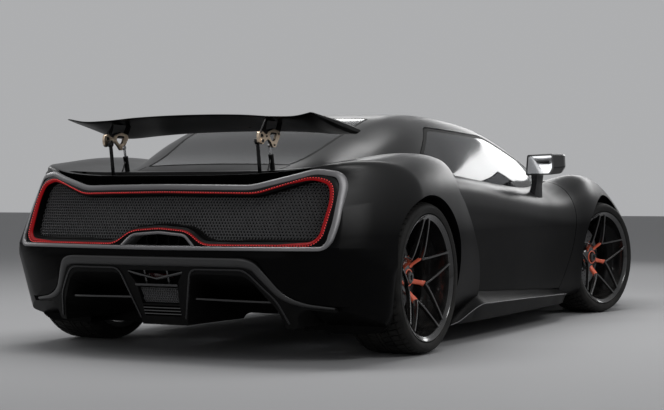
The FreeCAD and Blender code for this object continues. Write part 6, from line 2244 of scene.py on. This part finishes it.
# %% Camera
camera_place = Vector((-7.876, -3.809, 0.737))
camera_yaw, camera_pitch, camera_roll = 27.52, -0.43, -0.07
camera = bpy.data.objects.new("camera", bpy.data.cameras.new("camera"))
camera.data.lens, camera.data.sensor_width = 82.33, 36.0
camera.rotation_mode = "QUATERNION"
camera.location = camera_place
aim = Matrix.Rotation(math.radians(camera_yaw - 90), 3, "Z") @ Matrix.Rotation(math.radians(90 + camera_pitch), 3, "X")
camera.rotation_quaternion = (aim @ Matrix.Rotation(math.radians(camera_roll), 3, "Z")).to_quaternion()
scene.collection.objects.link(camera)
scene.camera = camera

# %% Floor
floor_mesh = bpy.data.meshes.new("floor")
floor_reach = 40.0
floor_mesh.from_pydata([(x, y, 0) for x, y in rectangle(floor_reach, floor_reach)], [], [(0, 1, 2, 3)])
floor = add_object("floor", floor_mesh)
floor_material = bpy.data.materials.new("studio_floor")
floor_material.use_nodes = True
floor_shader = floor_material.node_tree.nodes["Principled BSDF"]
for label, value in (("Base Color", (0.34, 0.34, 0.345, 1)), ("Roughness", 0.8), ("Specular IOR Level", 0.12)):
    floor_shader.inputs[label].default_value = value
floor.data.materials.append(floor_material)

# %% Lights


def soft_box(name, place, aim_at, width, height, watts):
    """A rectangular lamp that faces a point."""
    light = bpy.data.lights.new(name, "AREA")
    light.shape, light.size, light.size_y, light.energy = "RECTANGLE", width, height, watts
    obj = bpy.data.objects.new(name, light)
    obj.rotation_mode = "QUATERNION"
    obj.location = place
    obj.rotation_quaternion = (Vector(aim_at) - Vector(place)).to_track_quat("-Z", "Y")
    scene.collection.objects.link(obj)


soft_box("overhead", (-0.4, -0.2, 4.6), (-0.3, -0.1, 0), 6.0, 1.4, 210)
soft_box("ahead", (7.5, -0.4, 3.0), (0.0, 0.0, 0.8), 6.0, 1.1, 80)
soft_box("ahead_left", (5.6, 3.0, 4.3), (-1.0, -0.3, 1.1), 1.7, 1.1, 24)
soft_box("behind", (-9.0, 0.2, 1.5), (0.3, -0.9, 0.9), 3.0, 1.2, 11)
soft_box("right_side", (-2.4, -6.0, 4.6), (-0.2, -0.6, 0.7), 4.5, 0.8, 105)
soft_box("left_side", (-0.5, 6.0, 3.6), (0, 0, 0.7), 5.0, 0.8, 50)

# %% Surroundings
# A pale sky lights the car. The camera, reflections and glass see a grey one in its place.
world = bpy.data.worlds.new("studio")
world.use_nodes = True
scene.world = world
sky = Board(world.node_tree)
lighting = world.node_tree.nodes["Background"]
sky.feed(lighting.inputs["Color"], (0.80, 0.81, 0.83, 1))
sky.feed(lighting.inputs["Strength"], 0.38)
shown = sky.node("ShaderNodeBackground", Color=(0.42, 0.424, 0.432, 1), Strength=1.0)
rays = sky.node("ShaderNodeLightPath").outputs
seen = sky.math("MAXIMUM", sky.math("MAXIMUM", rays["Is Camera Ray"], rays["Is Glossy Ray"]),
                rays["Is Transmission Ray"])
choice = sky.node("ShaderNodeMixShader", Fac=seen)
for socket, value in zip(choice.inputs[1:], (lighting, shown)):
    sky.feed(socket, value)
sky.feed(world.node_tree.nodes["World Output"].inputs["Surface"], choice)
scene.view_settings.view_transform = "Standard"

# %% [markdown]
# ## Clearing the bench
# The cutting solids have done their work, and are thrown away.

# %% Finish
for solid in workbench:
    bpy.data.objects.remove(solid)
